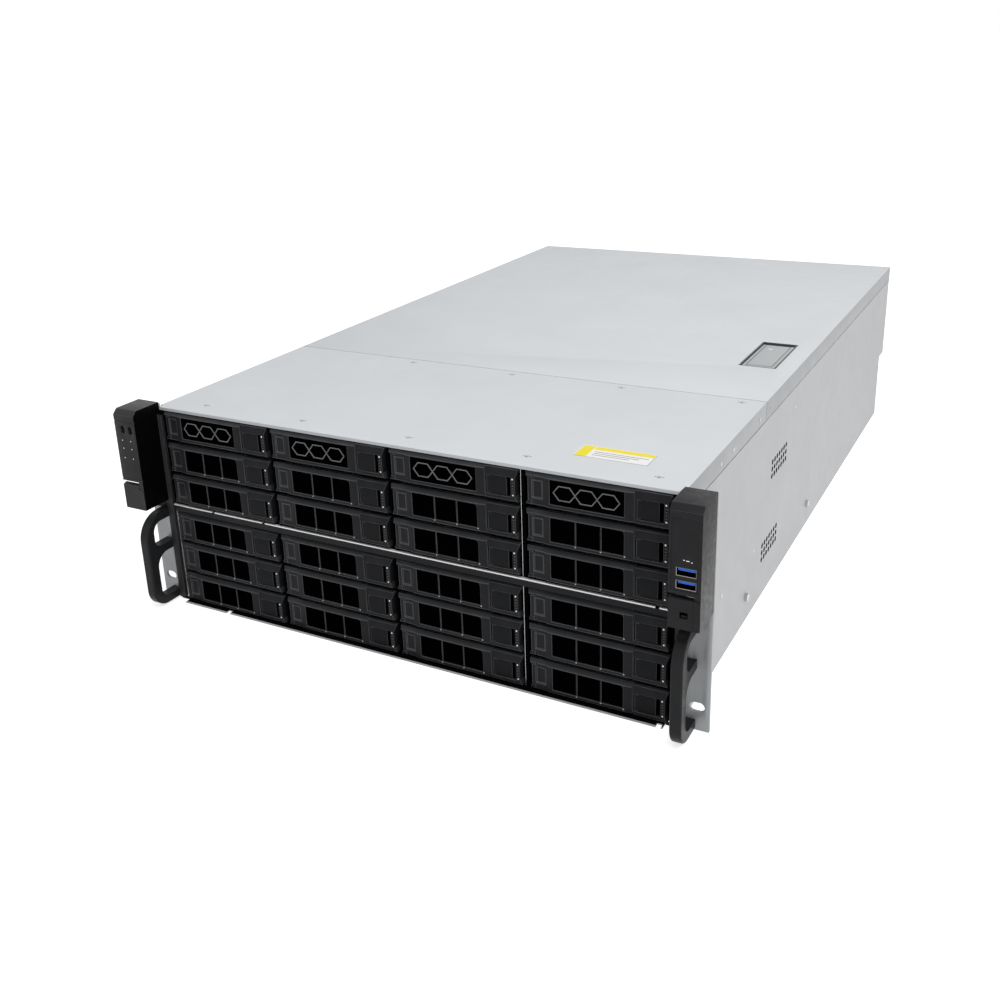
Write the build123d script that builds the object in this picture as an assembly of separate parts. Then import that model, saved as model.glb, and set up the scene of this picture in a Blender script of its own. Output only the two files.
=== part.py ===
from build123d import *
import os

# A rack server chassis, four units high, with twenty-four drive carriers in its front.
# X runs to the right as seen from the front, Y runs into the depth and Z is up.
# The origin is on the underside, midway between the sides, in the front plane of the rack flanges.

# Rack standard
rack_width = 482.6
rack_hole_edge = 8.75
rack_hole_rise = 88.9
rack_slot_width = 6.8
rack_slot_length = 10.3
lowest_rack_hole = 18.2

# Body
body_depth = 730.0
side_space = 5.5
wall = 1.2
floor_sheet = 1.0
cover_sheet = 1.0
front_lip_reach = 8.6
front_lip_inset = 8.9
rear_step_height = 70.0
rear_step_depth = 24.0
gap = 0.3

# Covers
cover_skirt = 15.6
cover_front_reach = 2.4
cover_front_lip = 2.5
cover_front_inset = 2.9
cover_split = 191.3
cover_travel = 13.0
rivet_radius = 1.8
rivet_head = 0.25

# Cover latch
latch_length = 80.0
latch_width = 32.0
latch_depth = 8.0
latch_edge_inset = 32.5
latch_start = 279.0
latch_wall = 1.2
latch_pin_radius = 1.5

# Drive bays
column_pitch = 107.0
wide_divider_extra = 2.0
row_pitch = 27.5
lower_disk_rise = 0.4
upper_disk_drop = 0.7
rows_in_half = 3
columns = 4
partition_sheet = 1.2
cage_front = -1.0
cage_depth = 166.0
trim_height = 4.7
top_clearance = 0.1
ledge_height = 0.7
ledge_drop = 11.6

# Drive carrier
face_plane = -4.0
face_height = 24.0
face_side_gap = 1.4
face_top_bevel = 2.8
face_bottom_bevel = 1.2
lever_thickness = 4.5
lever_right = 80.0
lever_gap = 0.4
bezel_plate = 2.0
pivot_inset = 5.4
pivot_radius = 1.0
running_clearance = 0.05
lug_height = 3.6
window_left = 20.2
window_right = 73.2
window_height = 17.6
window_bar = 1.0
window_corner = 1.6
pocket_left = 6.6
pocket_width = 7.8
pocket_height = 13.0
pocket_depth = 1.4
button_left = 81.2
button_width = 15.7
button_height = 13.7
button_shift = -1.4
button_travel = 3.0
button_pocket_depth = 2.2
end_notch = 2.9
end_notch_height = 15.0
light_radius = 0.7
light_inset = 101.5
light_heights = (4.6, -6.9)
hexagon_radius = 8.0
hexagon_half_height = 5.0
hexagon_pitch = 15.7
hexagon_line = 0.9
hexagon_relief = 0.5
disk_width = 101.6
disk_length = 147.0
disk_height = 25.4
disk_front = 9.0
rail_height = 21.0
rail_length = 158.0
tray_front_sheet = 1.2

# Backplane
board_thickness = 1.6
socket_width = 43.0
socket_height = 9.0

# Rack flanges, ears and handles
flange_sheet = 2.0
flange_bottom = 0.5
flange_rise = 1.5
flange_leaf = 1.5
flange_leaf_length = 28.0
ear_front = -28.5
ear_rise = 3.0
ear_bottom = 91.0
ear_block_bottom = 115.0
ear_bevel = 4.0
ear_wall = 2.0
ear_web = 4.2
strip_width = 6.0
strip_depth = 3.0
strip_drop = 10.0
ear_latch_top = 112.6
ear_latch_thickness = 5.5
ear_latch_pin_radius = 1.2
handle_width = 8.5
handle_front = -30.0
handle_bottom = 1.0
handle_top = 83.0
handle_bar = 8.6
handle_leg = 7.4
handle_strut_low = 47.5
handle_strut_high = 54.3
ear_button_width = 3.6
ear_button_height = 6.2
ear_button_travel = 1.2
ear_button_stop = 0.9
power_button_x = -233.4
reset_button_x = -225.6
ear_button_z = 159.0
usb_centre_x = 231.5
usb_upper_z = 130.3
usb_pitch = 8.8
usb_width = 13.2
usb_height = 5.8
usb_depth = 16.0
usb_shell = 0.4
usb_tongue_width = 11.2
usb_tongue_height = 1.8

# Fans
fan_count = 3
fan_pitch = 138.0
fan_size = 120.0
fan_depth = 38.0
fan_rim = 3.0
fan_wall_plane = 204.0
fan_hub_radius = 24.0
fan_blades = 7
fan_blade_angle = 38.0
fan_shaft_radius = 3.0

# Mainboard and power
board_width = 270.0
board_length = 330.0
board_rear_gap = 6.0
board_height = 9.0
supply_width = 73.5
supply_height = 39.0
supply_length = 185.0
supply_spacing = 2.2
supply_side_gap = 5.5
supply_handle_reach = 21.0
network_port_width = 16.0
network_port_height = 13.6
network_port_length = 21.0

# Values that follow from the sizes above
bay_span = columns * column_pitch + wide_divider_extra
half_width = bay_span / 2 + side_space
lower_row_centre = floor_sheet + gap + disk_height / 2 - lower_disk_rise
shelf_bottom = rows_in_half * row_pitch + trim_height
shelf_top = shelf_bottom + wall
upper_row_centre = shelf_top + gap + disk_height / 2 + upper_disk_drop
under_cover = shelf_top + rows_in_half * row_pitch + top_clearance
body_height = under_cover + cover_sheet
lower_rear = body_depth - rear_step_depth
rear_wall = body_depth - wall - gap / 2
seam_height = body_height - cover_skirt - gap
cage_rear = cage_front + cage_depth
face_right = column_pitch - face_side_gap
knuckle_radius = lever_thickness / 2
pivot_depth = face_plane + knuckle_radius
lever_back = face_plane + lever_thickness
plate_front = lever_back + lever_gap
plate_back = plate_front + bezel_plate
tray_outer = partition_sheet / 2 + gap
rail_thickness = (column_pitch - disk_width) / 2 - tray_outer
ledge_reach = tray_outer + rail_thickness
ear_inner = half_width - gap
ear_outer = rack_width / 2 + gap / 2
rack_hole_x = rack_width / 2 - rack_hole_edge
ear_top = body_height + ear_rise
strip_outer = half_width + 2 * wall
strip_inner = strip_outer - strip_width
handle_inner = strip_outer + gap
handle_outer = handle_inner + handle_width
fan_bore_radius = fan_size / 2 - fan_rim
fan_centre_z = body_height / 2
board_left = wall + side_space - half_width + 2 * gap
board_right = board_left + board_width
board_rear = lower_rear - board_rear_gap
board_front = board_rear - board_length
supply_pitch = supply_width + supply_spacing
supply_left = half_width - wall - supply_side_gap - supply_width - supply_pitch


def block(x0, x1, y0, y1, z0, z1):
    """A rectangular block between two corners."""
    centre = Pos((x0 + x1) / 2, (y0 + y1) / 2, (z0 + z1) / 2)
    return centre * Box(abs(x1 - x0), abs(y1 - y0), abs(z1 - z0))


def rod_z(x, y, z0, z1, radius):
    """A round rod along Z."""
    return Pos(x, y, (z0 + z1) / 2) * Cylinder(radius, abs(z1 - z0))


def rod_y(x, z, y0, y1, radius):
    """A round rod along Y."""
    return Pos(x, (y0 + y1) / 2, z) * Rot(90, 0, 0) * Cylinder(radius, abs(y1 - y0))


def rod_x(y, z, x0, x1, radius):
    """A round rod along X."""
    return Pos((x0 + x1) / 2, y, z) * Rot(0, 90, 0) * Cylinder(radius, abs(x1 - x0))


def side_profile(points, x0, x1):
    """An outline given as (y, z) points, made solid from x0 to x1."""
    face = make_face(Polyline(*[(x0, y, z) for y, z in points], close=True))
    return extrude(face, amount=x1 - x0, dir=(1, 0, 0))


def front_profile(points, y0, y1):
    """An outline given as (x, z) points, made solid from y0 to y1."""
    face = make_face(Polyline(*[(x, y0, z) for x, z in points], close=True))
    return extrude(face, amount=y1 - y0, dir=(0, 1, 0))


def mirrored(shape):
    """The same shape on the other side of the chassis."""
    return mirror(shape, about=Plane.YZ)


def group(shapes):
    """Separate solids kept together as one node."""
    return Compound(children=[solid for shape in shapes for solid in shape.solids()])


def bay_left(column):
    """The left boundary of a column of bays."""
    extra = wide_divider_extra if column == columns - 1 else 0.0
    return -bay_span / 2 + column * column_pitch + extra


def row_centre(row):
    """The height of a row's middle, with row 0 at the top."""
    if row < rows_in_half:
        return upper_row_centre + (rows_in_half - 1 - row) * row_pitch
    return lower_row_centre + (2 * rows_in_half - 1 - row) * row_pitch


def disk_centre(row):
    """The height of a disk's middle."""
    return row_centre(row) + disk_offset(row)


def disk_offset(row):
    """How far a disk's middle is above the middle of its row."""
    return -upper_disk_drop if row < rows_in_half else lower_disk_rise


# Sheet metal body

vent_columns = 7
vent_rows = 3
vent_pitch = 7.2
vent_row_pitch = 6.2
vent_radius = 2.6
upper_vent = (219.4, 100.1)
lower_vent = (199.4, 34.3)
lip_notch_places = (-167.6, 206.6)
lip_notch = 4.0


def side_vents():
    """Cutters for the two patches of hexagonal holes in a side wall."""
    cutters = []
    for start_y, start_z in (upper_vent, lower_vent):
        for row in range(vent_rows):
            for column in range(vent_columns):
                place = Pos(0, start_y + column * vent_pitch, start_z + row * vent_row_pitch)
                hexagon = place * Rot(0, 90, 0) * RegularPolygon(vent_radius, 6)
                cutters.append(extrude(hexagon, amount=half_width + wall, both=True))
    return cutters


def base_tray():
    wall_inner = half_width - wall
    start = flange_sheet + gap
    lip = half_width - front_lip_inset
    tray = block(-half_width, half_width, start, lower_rear, 0, floor_sheet)
    tray += block(-lip, lip, -front_lip_reach, start, 0, floor_sheet)
    outline = [(start, 0), (lower_rear, 0), (lower_rear, rear_step_height)]
    outline += [(rear_wall, rear_step_height), (rear_wall, seam_height), (start, seam_height)]
    joggle = wall + gap
    for side in (1, -1):
        sheet = side_profile(outline, wall_inner, half_width)
        sheet += block(wall_inner - joggle, half_width, start, rear_wall, seam_height - 2 * wall, seam_height)
        sheet += block(wall_inner - joggle, wall_inner - gap, start, rear_wall, seam_height - wall,
                       under_cover - gap)
        tray += sheet if side == 1 else mirrored(sheet)
    tray -= side_vents()
    for x in lip_notch_places:
        tray -= block(x, x + lip_notch, -front_lip_reach - gap, -front_lip_reach + lip_notch, -gap, wall)
    return tray


slot_covers = 7
slot_pitch = 20.32
slot_cover_width = 18.4
slot_height = 84.0
slot_opening = 12.0
slot_rim = 4.0
rear_vent_columns = 18
rear_vent_rows = 9
rear_vent_pitch = 9.0
rear_vent_radius = 3.6
slots_left = -206.0


def slot_cover_left(index):
    """The left edge of an expansion slot cover."""
    return slots_left + index * slot_pitch


def rear_vents():
    """Cutters for the field of hexagonal holes beside the slot covers."""
    left = slot_cover_left(slot_covers) + rear_vent_pitch
    cutters = []
    for row in range(rear_vent_rows):
        for column in range(rear_vent_columns):
            x = left + column * rear_vent_pitch + (row % 2) * rear_vent_pitch / 2
            z = rear_step_height + rear_vent_pitch * (row + 1.5)
            hexagon = Pos(x, rear_wall, z) * Rot(90, 0, 0) * RegularPolygon(rear_vent_radius, 6)
            cutters.append(extrude(hexagon, amount=2 * wall, both=True))
    return cutters


def rear_panel():
    edge = half_width - wall - 2 * gap
    leaf_edge = edge - wall
    lower = block(-edge, edge, lower_rear - wall, lower_rear, floor_sheet, rear_step_height + wall)
    ledge = block(-leaf_edge, leaf_edge, lower_rear - wall, rear_wall, rear_step_height,
                  rear_step_height + wall)
    upper = block(-leaf_edge, leaf_edge, rear_wall - wall, rear_wall, rear_step_height, under_cover - gap)
    openings = []
    for index in range(2):
        left = supply_left + index * supply_pitch
        openings.append(block(left - gap, left + supply_width + gap, lower_rear - 2 * wall, body_depth,
                              floor_sheet, floor_sheet + 2 * gap + supply_height))
    for left in network_places():
        openings.append(block(left - gap, left + network_port_width + gap, lower_rear - 2 * wall, body_depth,
                              board_height, board_top() + network_port_height + gap))
    slot_bottom = rear_step_height + 2 * wall + slot_rim
    slot_inset = (slot_cover_width - slot_opening) / 2
    pieces = []
    for index in range(slot_covers):
        left = slot_cover_left(index)
        openings.append(block(left + slot_inset, left + slot_inset + slot_opening, rear_wall - 2 * wall, body_depth,
                              slot_bottom + slot_rim, slot_bottom + slot_height - slot_rim))
        pieces.append(block(left, left + slot_cover_width, rear_wall - 2 * wall, rear_wall - wall,
                            slot_bottom, slot_bottom + slot_height))
    panel = lower + ledge + upper - openings - rear_vents()
    return group([panel] + pieces)


# Covers

front_rivet_start = -183.4
front_rivet_pitch = 95.3
front_rivet_y = 15.0
split_rivet_start = -92.9
split_rivet_pitch = 98.8
split_rivet_y = 182.4
skirt_rivet_drop = 9.0
front_skirt_rivets = (75.0, 104.6, 172.8)
rear_skirt_rivets = (204.5, 241.0)
rear_lip = 11.0
rear_rivet_inset = 18.0
rear_rivet_setback = 15.0
front_wall_rivets = ((89.0, 55.0), (173.0, 54.3), (287.4, 138.2))
rear_wall_rivets = ((294.0, 19.0), (155.4, 14.0), (40.0, 78.0))


def top_rivet(x, y):
    """A flat rivet head on the top."""
    return rod_z(x, y, body_height, body_height + rivet_head, rivet_radius)


def side_rivet(y, z):
    """A flat rivet head on the right-hand side."""
    return rod_x(y, z, half_width, half_width + rivet_head, rivet_radius)


def front_cover():
    start = flange_sheet + gap
    end = cover_split - gap / 2
    reach = half_width - cover_front_inset
    cover = block(-half_width, half_width, start, end, under_cover, body_height)
    cover += block(-reach, reach, -cover_front_reach, start, under_cover, body_height)
    cover += block(-reach, reach, -cover_front_reach, cover_sheet - cover_front_reach,
                   body_height - cover_front_lip, body_height)
    for side in (1, -1):
        cover += block(side * (half_width - cover_sheet), side * half_width, start, end,
                       body_height - cover_skirt, body_height)
    return cover


def rear_cover():
    start = cover_split + gap / 2
    cover = block(-half_width, half_width, start, body_depth, under_cover, body_height)
    for side in (1, -1):
        cover += block(side * (half_width - cover_sheet), side * half_width, start, body_depth,
                       body_height - cover_skirt, body_height)
    lip = half_width - cover_sheet
    cover += block(-lip, lip, body_depth - cover_sheet, body_depth, body_height - rear_lip, body_height)
    left, right, front, rear = latch_box()
    cover -= block(left, right, front, rear, under_cover - gap, body_height + gap)
    side_rivets = [side_rivet(y, body_height - skirt_rivet_drop) for y in rear_skirt_rivets]
    side_rivets.append(top_rivet(half_width - rear_rivet_inset, body_depth - rear_rivet_setback))
    return group([cover] + side_rivets + [mirrored(rivet) for rivet in side_rivets])


def latch_box():
    """The outline of the latch's recess: left, right, front, rear."""
    middle = half_width - latch_edge_inset
    return middle - latch_width / 2, middle + latch_width / 2, latch_start, latch_start + latch_length


latch_lever_sheet = 2.0
latch_lever_side = 2.1
latch_lever_front = 4.5
latch_knuckle = 2.7
latch_pin_inset = 6.2
latch_seat = 0.9


def latch_pin():
    """The latch pin's place: y and z."""
    return latch_box()[3] - latch_pin_inset, body_height - latch_seat - latch_knuckle


def latch_pan():
    """The sunk tray around the latch, with the lever's pin across it."""
    left, right, front, rear = latch_box()
    bottom = body_height - latch_depth
    pan = block(left + gap, right - gap, front + gap, rear - gap, bottom, body_height)
    pan -= block(left + gap + latch_wall, right - gap - latch_wall, front + gap + latch_wall,
                 rear - gap - latch_wall, bottom + latch_wall, body_height + gap)
    pin_y, pin_z = latch_pin()
    pin_inset = gap + latch_wall / 2
    return pan + rod_x(pin_y, pin_z, left + pin_inset, right - pin_inset, latch_pin_radius)


def latch_lever():
    left, right, front, rear = latch_box()
    pin_y, pin_z = latch_pin()
    top = pin_z + latch_knuckle
    lever = block(left + latch_lever_side, right - latch_lever_side, front + latch_lever_front, pin_y,
                  top - latch_lever_sheet, top)
    lever += rod_x(pin_y, pin_z, left + latch_lever_side, right - latch_lever_side, latch_knuckle)
    return lever - rod_x(pin_y, pin_z, left, right, latch_pin_radius + running_clearance)


# Drive cage

shelf_notches = (-173.0, -121.7, 204.6)


def partition(x0, x1, z0, z1, rows, ledge_left, ledge_right):
    """One upright plate of the cage, with the ledges that carry the trays."""
    plate = block(x0, x1, cage_front, cage_rear, z0, z1)
    middle_left = x0 + partition_sheet / 2
    middle_right = x1 - partition_sheet / 2
    ledge_front = plate_back + gap
    for row in rows:
        top = disk_centre(row) - ledge_drop
        if ledge_right:
            plate += block(middle_right, middle_right + ledge_reach, ledge_front, cage_rear,
                           top - ledge_height, top)
        if ledge_left:
            plate += block(middle_left - ledge_reach, middle_left, ledge_front, cage_rear,
                           top - ledge_height, top)
    return plate


def drive_cage():
    edge = (bay_span + partition_sheet) / 2
    shelf = block(-edge, edge, cage_front, cage_rear, shelf_bottom, shelf_top)
    for x in shelf_notches:
        shelf -= block(x - lip_notch / 2, x + lip_notch / 2, cage_front - gap, cage_front + lip_notch,
                       shelf_bottom - gap, shelf_top + gap)
    pieces = [shelf]
    upper_rows = range(rows_in_half)
    lower_rows = range(rows_in_half, 2 * rows_in_half)
    halves = ((floor_sheet, shelf_bottom, lower_rows), (shelf_top, under_cover - gap, upper_rows))
    for bottom, top, rows in halves:
        for index in range(columns + 1):
            right = bay_left(index) if index < columns else bay_span / 2
            left = bay_left(index - 1) + column_pitch if index > 0 else right
            pieces.append(partition(left - partition_sheet / 2, right + partition_sheet / 2, bottom, top,
                                    rows, index > 0, index < columns))
    return group(pieces)


def shelf_trim():
    """The dark strip under the shelf, between the third and the fourth row."""
    edge = bay_span / 2 - partition_sheet
    return block(-edge, edge, face_plane + gap, cage_front, shelf_bottom - trim_height, shelf_bottom)


def backplane():
    edge = half_width - wall - 2 * flange_leaf - gap
    board = block(-edge, edge, cage_rear, cage_rear + board_thickness, floor_sheet + gap, under_cover - gap)
    sockets = []
    for column in range(columns):
        centre = bay_left(column) + column_pitch / 2
        for row in range(2 * rows_in_half):
            z = disk_centre(row)
            board -= block(centre + socket_width / 2 + wall, centre + socket_width, cage_rear - gap,
                           cage_rear + board_thickness + gap, z - socket_height / 2, z + socket_height / 2)
            front = disk_front + disk_length + gap
            socket = block(centre - socket_width / 2, centre + socket_width / 2, front, cage_rear,
                           z - socket_height / 2, z + socket_height / 2)
            sockets.append(socket)
    return group([board] + sockets)


# Drive carriers

def face_shape(x0, x1, back):
    """A length of the carriers' common face, with its bevelled top and bottom edges."""
    half = face_height / 2
    points = [(back, -half), (face_plane + face_bottom_bevel, -half), (face_plane, -half + face_bottom_bevel)]
    points += [(face_plane, half - face_top_bevel), (face_plane + face_top_bevel, half), (back, half)]
    return side_profile(points, x0, x1)


def hexagon_outline(x):
    """One raised hexagon of the top row's panel."""
    points = []
    for scale in (1.0, 1.0 - hexagon_line / hexagon_half_height):
        wide = hexagon_radius * scale
        high = hexagon_half_height * scale
        points.append([(x - wide, 0), (x - wide / 2, high), (x + wide / 2, high),
                       (x + wide, 0), (x + wide / 2, -high), (x - wide / 2, -high)])
    back = face_plane + pocket_depth
    ring = front_profile(points[0], back - hexagon_relief, back)
    return ring - front_profile(points[1], back - 2 * hexagon_relief, back + hexagon_relief)


def window_cut(x0, x1, depth):
    """One window with its corners cut off."""
    half = window_height / 2
    cut = window_corner
    points = [(x0 + cut, half), (x1 - cut, half), (x1, half - cut)]
    points += [(x1, -half), (x0, -half), (x0, half - cut)]
    return front_profile(points, face_plane - gap, face_plane + depth)


def carrier_lever(top_row):
    """The swinging front lever, drawn with the bay's left boundary at x = 0."""
    half = face_height / 2
    knuckle_half = half - lug_height - gap
    lever = face_shape(pivot_inset, lever_right, lever_back)
    for sign in (1, -1):
        lever -= rod_z(pivot_inset, pivot_depth, sign * knuckle_half, sign * (half + gap), knuckle_radius + gap)
    lever += rod_z(pivot_inset, pivot_depth, -knuckle_half, knuckle_half, knuckle_radius)
    lever -= rod_z(pivot_inset, pivot_depth, -half, half, pivot_radius + running_clearance)
    pocket_right = pocket_left + pocket_width
    pocket_half = pocket_height / 2
    if top_row:
        lever -= window_cut(window_left, window_right, pocket_depth)
        middle = (window_left + window_right) / 2
        for index in (-1, 0, 1):
            lever += hexagon_outline(middle + index * hexagon_pitch)
    else:
        width = (window_right - window_left - 2 * window_bar) / 3
        for index in range(3):
            left = window_left + index * (width + window_bar)
            lever -= window_cut(left, left + width, 2 * lever_thickness)
    shallow = pivot_depth - pivot_radius - running_clearance - gap
    return lever - block(pocket_left, pocket_right, face_plane - gap, shallow, -pocket_half, pocket_half)


def carrier_lug(sign):
    """One of the two lugs at the left that hold the ends of the lever's pin."""
    half = face_height / 2
    inner = sign * (half - lug_height)
    lug = block(face_side_gap, pivot_inset, pivot_depth, plate_back, inner, sign * half)
    lug += rod_z(pivot_inset, pivot_depth, inner, sign * half, knuckle_radius)
    return lug & face_shape(face_side_gap, 2 * pivot_inset, plate_back)


def carrier_bezel():
    """The fixed front of a carrier: a vented plate, the latch block and the lever's two lugs."""
    half = face_height / 2
    window_half = window_height / 2 - wall
    bezel = face_shape(lever_right + lever_gap, face_right, plate_back)
    bezel += block(face_side_gap, face_right, plate_front, plate_back, -half, half)
    bezel += carrier_lug(1) + carrier_lug(-1)
    bezel += rod_z(pivot_inset, pivot_depth, -half + lug_height / 2, half - lug_height / 2, pivot_radius)
    bezel -= block(window_left, window_right, plate_front - gap, plate_back + gap, -window_half, window_half)
    low = button_shift - button_height / 2 - gap
    high = button_shift + button_height / 2 + gap
    bezel -= block(lever_right, button_left + button_width + button_travel + gap, face_plane - gap,
                   face_plane + button_pocket_depth, low, high)
    notch_half = end_notch_height / 2
    notch = [(face_right + gap, notch_half + end_notch), (face_right - end_notch, notch_half)]
    notch += [(face_right - end_notch, -notch_half), (face_right + gap, -notch_half - end_notch)]
    bezel -= front_profile(notch, face_plane - gap, plate_front)
    for z in light_heights:
        bezel -= rod_y(light_inset, z, face_plane - gap, face_plane + wall, light_radius)
    return bezel


def carrier_lights():
    """The two light pipes of a carrier."""
    return [rod_y(light_inset, z, face_plane, face_plane + wall, light_radius - running_clearance)
            for z in light_heights]


def carrier_button():
    """The catch that frees the lever by sliding to the right."""
    low = button_shift - button_height / 2
    front = face_plane + gap
    back = face_plane + button_pocket_depth - gap / 3
    button = block(button_left, button_left + button_width, front, back, low, low + button_height)
    ridge = button_left + button_width / 4
    return button - block(ridge, ridge + wall / 2, front - gap, front + gap, low + wall,
                          low + button_height - wall)


def carrier_tray(lift):
    """The steel tray: two rails and a vented front wall."""
    bottom = lift - ledge_drop + gap / 3
    top = bottom + rail_height
    window_half = window_height / 2 - 2 * wall
    tray = block(tray_outer, column_pitch - tray_outer, plate_back, plate_back + tray_front_sheet, bottom, top)
    tray -= block(window_left, window_right, plate_back - gap, plate_back + 2 * tray_front_sheet,
                  -window_half, window_half)
    for left in (tray_outer, column_pitch - tray_outer - rail_thickness):
        tray += block(left, left + rail_thickness, plate_back, plate_back + rail_length, bottom, top)
    return tray


disk_step = 3.0


def carrier_disk(lift):
    """A three and a half inch disk drive, with a step in its top cover."""
    left = (column_pitch - disk_width) / 2
    top = lift + disk_height / 2
    rear = disk_front + disk_length
    disk = block(left, left + disk_width, disk_front, rear, top - disk_height, top)
    return disk - block(left + disk_width / 3, left + disk_width - 2 * disk_step, rear - disk_length / 4,
                        rear - 2 * disk_step, top - disk_step / 3, top + gap)


def place_in_bay(shapes, column, row):
    return group([Pos(bay_left(column), 0, row_centre(row)) * shape for shape in shapes])


def carrier(lift, with_lever):
    """All the solids that slide out with one carrier."""
    pieces = [carrier_bezel(), carrier_tray(lift), carrier_disk(lift)] + carrier_lights()
    if with_lever:
        pieces += [carrier_lever(False), carrier_button()]
    return pieces


# Rack flanges, ears and handles

def rack_slot(x, z):
    """A cutter for one slotted rack hole."""
    face = Pos(x, 0, z) * Rot(90, 0, 0) * SlotOverall(rack_slot_length, rack_slot_width)
    return extrude(face, amount=2 * flange_sheet, both=True)


def mounting_flanges():
    inner = half_width + gap
    leaf_outer = half_width - wall
    leaf_inner = leaf_outer - flange_leaf
    leaf_low = 2 * flange_sheet
    leaf_high = seam_height - 2 * flange_sheet - wall
    flange = block(inner, rack_width / 2, 0, flange_sheet, flange_bottom, body_height + flange_rise)
    flange += block(leaf_inner, inner + gap, 0, flange_sheet, leaf_low, leaf_high)
    flange += block(leaf_inner, leaf_outer, 0, flange_sheet + flange_leaf_length, leaf_low, leaf_high)
    for step in range(2):
        flange -= rack_slot(rack_hole_x, lowest_rack_hole + step * rack_hole_rise)
    return group([flange, mirrored(flange)])


def ear_latch_pin():
    """The ear latch's pin: y and z."""
    return ear_front + ear_latch_thickness / 2, ear_latch_top - ear_latch_thickness / 2


def ear_shell(web_side):
    """An ear on the right-hand side: a hollow block, a web below it and a strip down to the foot."""
    outline = [(0, ear_block_bottom), (ear_front, ear_block_bottom), (ear_front, ear_top - ear_bevel)]
    outline += [(ear_front + ear_bevel, ear_top), (0, ear_top)]
    shell = side_profile(outline, ear_inner, ear_outer)
    shell -= block(ear_inner + ear_wall, ear_outer - ear_wall, ear_front + ear_wall, gap,
                   ear_block_bottom + ear_wall, ear_top - 2 * ear_wall)
    shell += block(strip_inner, ear_inner + gap, -strip_depth, 0, handle_bottom, ear_top - strip_drop)
    shell += block(strip_inner, strip_outer, -strip_depth, 0, handle_bottom, ear_block_bottom + ear_wall)
    left = ear_inner if web_side < 0 else ear_outer - ear_web
    shell += block(left, left + ear_web, ear_front, 0, ear_bottom, ear_block_bottom + ear_wall)
    pin_left = left + ear_web / 2 if web_side < 0 else ear_inner + ear_wall
    pin_right = ear_outer - ear_wall if web_side < 0 else left + ear_web / 2
    pin_y, pin_z = ear_latch_pin()
    return shell + rod_x(pin_y, pin_z, pin_left, pin_right, ear_latch_pin_radius)


ear_catch = 5.0
ear_catch_width = 6.0
latch_slot_width = 5.0
latch_slot_low = 99.0
latch_slot_high = 103.6


def ear_latch(web_side):
    """The flap below an ear, hinged at its top, with a catch behind it."""
    left = ear_inner + ear_web + gap if web_side < 0 else ear_inner
    right = ear_outer if web_side < 0 else ear_outer - ear_web - gap
    middle = (left + right) / 2
    pin_y, pin_z = ear_latch_pin()
    back = ear_front + ear_latch_thickness
    flap = block(left, right, ear_front, back, ear_bottom, pin_z)
    flap += rod_x(pin_y, pin_z, left, right, ear_latch_thickness / 2)
    flap += block(middle - ear_catch_width / 2, middle + ear_catch_width / 2, back - gap, back + ear_catch,
                  ear_bottom + ear_catch, ear_bottom + ear_catch + 2 * wall)
    flap -= rod_x(pin_y, pin_z, left - gap, right + gap, ear_latch_pin_radius + running_clearance)
    return flap - block(middle - latch_slot_width / 2, middle + latch_slot_width / 2, ear_front - gap,
                        ear_front + wall, latch_slot_low, latch_slot_high)


ear_panel_step = 0.8
groove = 0.6
left_ear_grooves = (165.4, 116.6)


def right_ear():
    shell = ear_shell(1)
    shell -= block(ear_inner + wall, ear_outer - ear_wall, ear_front - gap, ear_front + ear_panel_step,
                   ear_block_bottom + ear_wall, ear_top - 2 * ear_bevel)
    half_opening = usb_width / 2 + gap / 3
    for step in range(2):
        z = usb_upper_z - step * usb_pitch
        shell -= block(usb_centre_x - half_opening, usb_centre_x + half_opening, ear_front - gap,
                       ear_front + 2 * ear_wall, z - usb_height / 2 - gap / 3, z + usb_height / 2 + gap / 3)
    return shell


def oval_rod(x, z, y0, y1, width, height):
    """A rod along Y with an upright oval section."""
    face = Pos(x, y0, z) * Rot(90, 0, 0) * Rot(0, 0, 90) * SlotOverall(height, width)
    return extrude(face, amount=y1 - y0, dir=(0, 1, 0))


def left_ear():
    shell = mirrored(ear_shell(-1))
    for x in (power_button_x, reset_button_x):
        shell -= oval_rod(x, ear_button_z, ear_front - gap, ear_front + 2 * ear_wall,
                          ear_button_width + 2 * gap, ear_button_height + 2 * gap)
    for z in left_ear_grooves:
        shell -= block(-ear_outer - gap, -ear_inner + gap, ear_front - gap, ear_front + groove, z, z + groove)
    return shell


def ear_button(x):
    """A push button of the left ear, with the rim that keeps it inside the shell."""
    stop = ear_front + ear_wall + gap / 3
    back = stop + wall
    cap = oval_rod(x, ear_button_z, ear_front + gap, back, ear_button_width, ear_button_height)
    return cap + oval_rod(x, ear_button_z, stop, back, ear_button_width + 2 * ear_button_stop,
                          ear_button_height + 2 * ear_button_stop)


usb_tongue_gap = 0.4


def usb_ports():
    """The two sockets of the right ear: a shell with a tongue in it, twice."""
    pieces = []
    front = ear_front + ear_panel_step
    back = front + usb_depth
    left = usb_centre_x - usb_width / 2
    right = left + usb_width
    for step in range(2):
        low = usb_upper_z - step * usb_pitch - usb_height / 2
        high = low + usb_height
        shell = block(left, right, front, back, low, high)
        shell -= block(left + usb_shell, right - usb_shell, front - gap, back - wall,
                       low + usb_shell, high - usb_shell)
        tongue_top = high - usb_shell - usb_tongue_gap
        tongue = block(usb_centre_x - usb_tongue_width / 2, usb_centre_x + usb_tongue_width / 2,
                       front + wall, back - wall, tongue_top - usb_tongue_height, tongue_top)
        pieces += [shell, tongue]
    return group(pieces)


handle_outer_radii = (22.0, 15.0)
handle_upper_radii = (9.0, 6.0)
handle_lower_radii = (12.0, 8.0)
handle_edge_radius = 1.6


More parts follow.
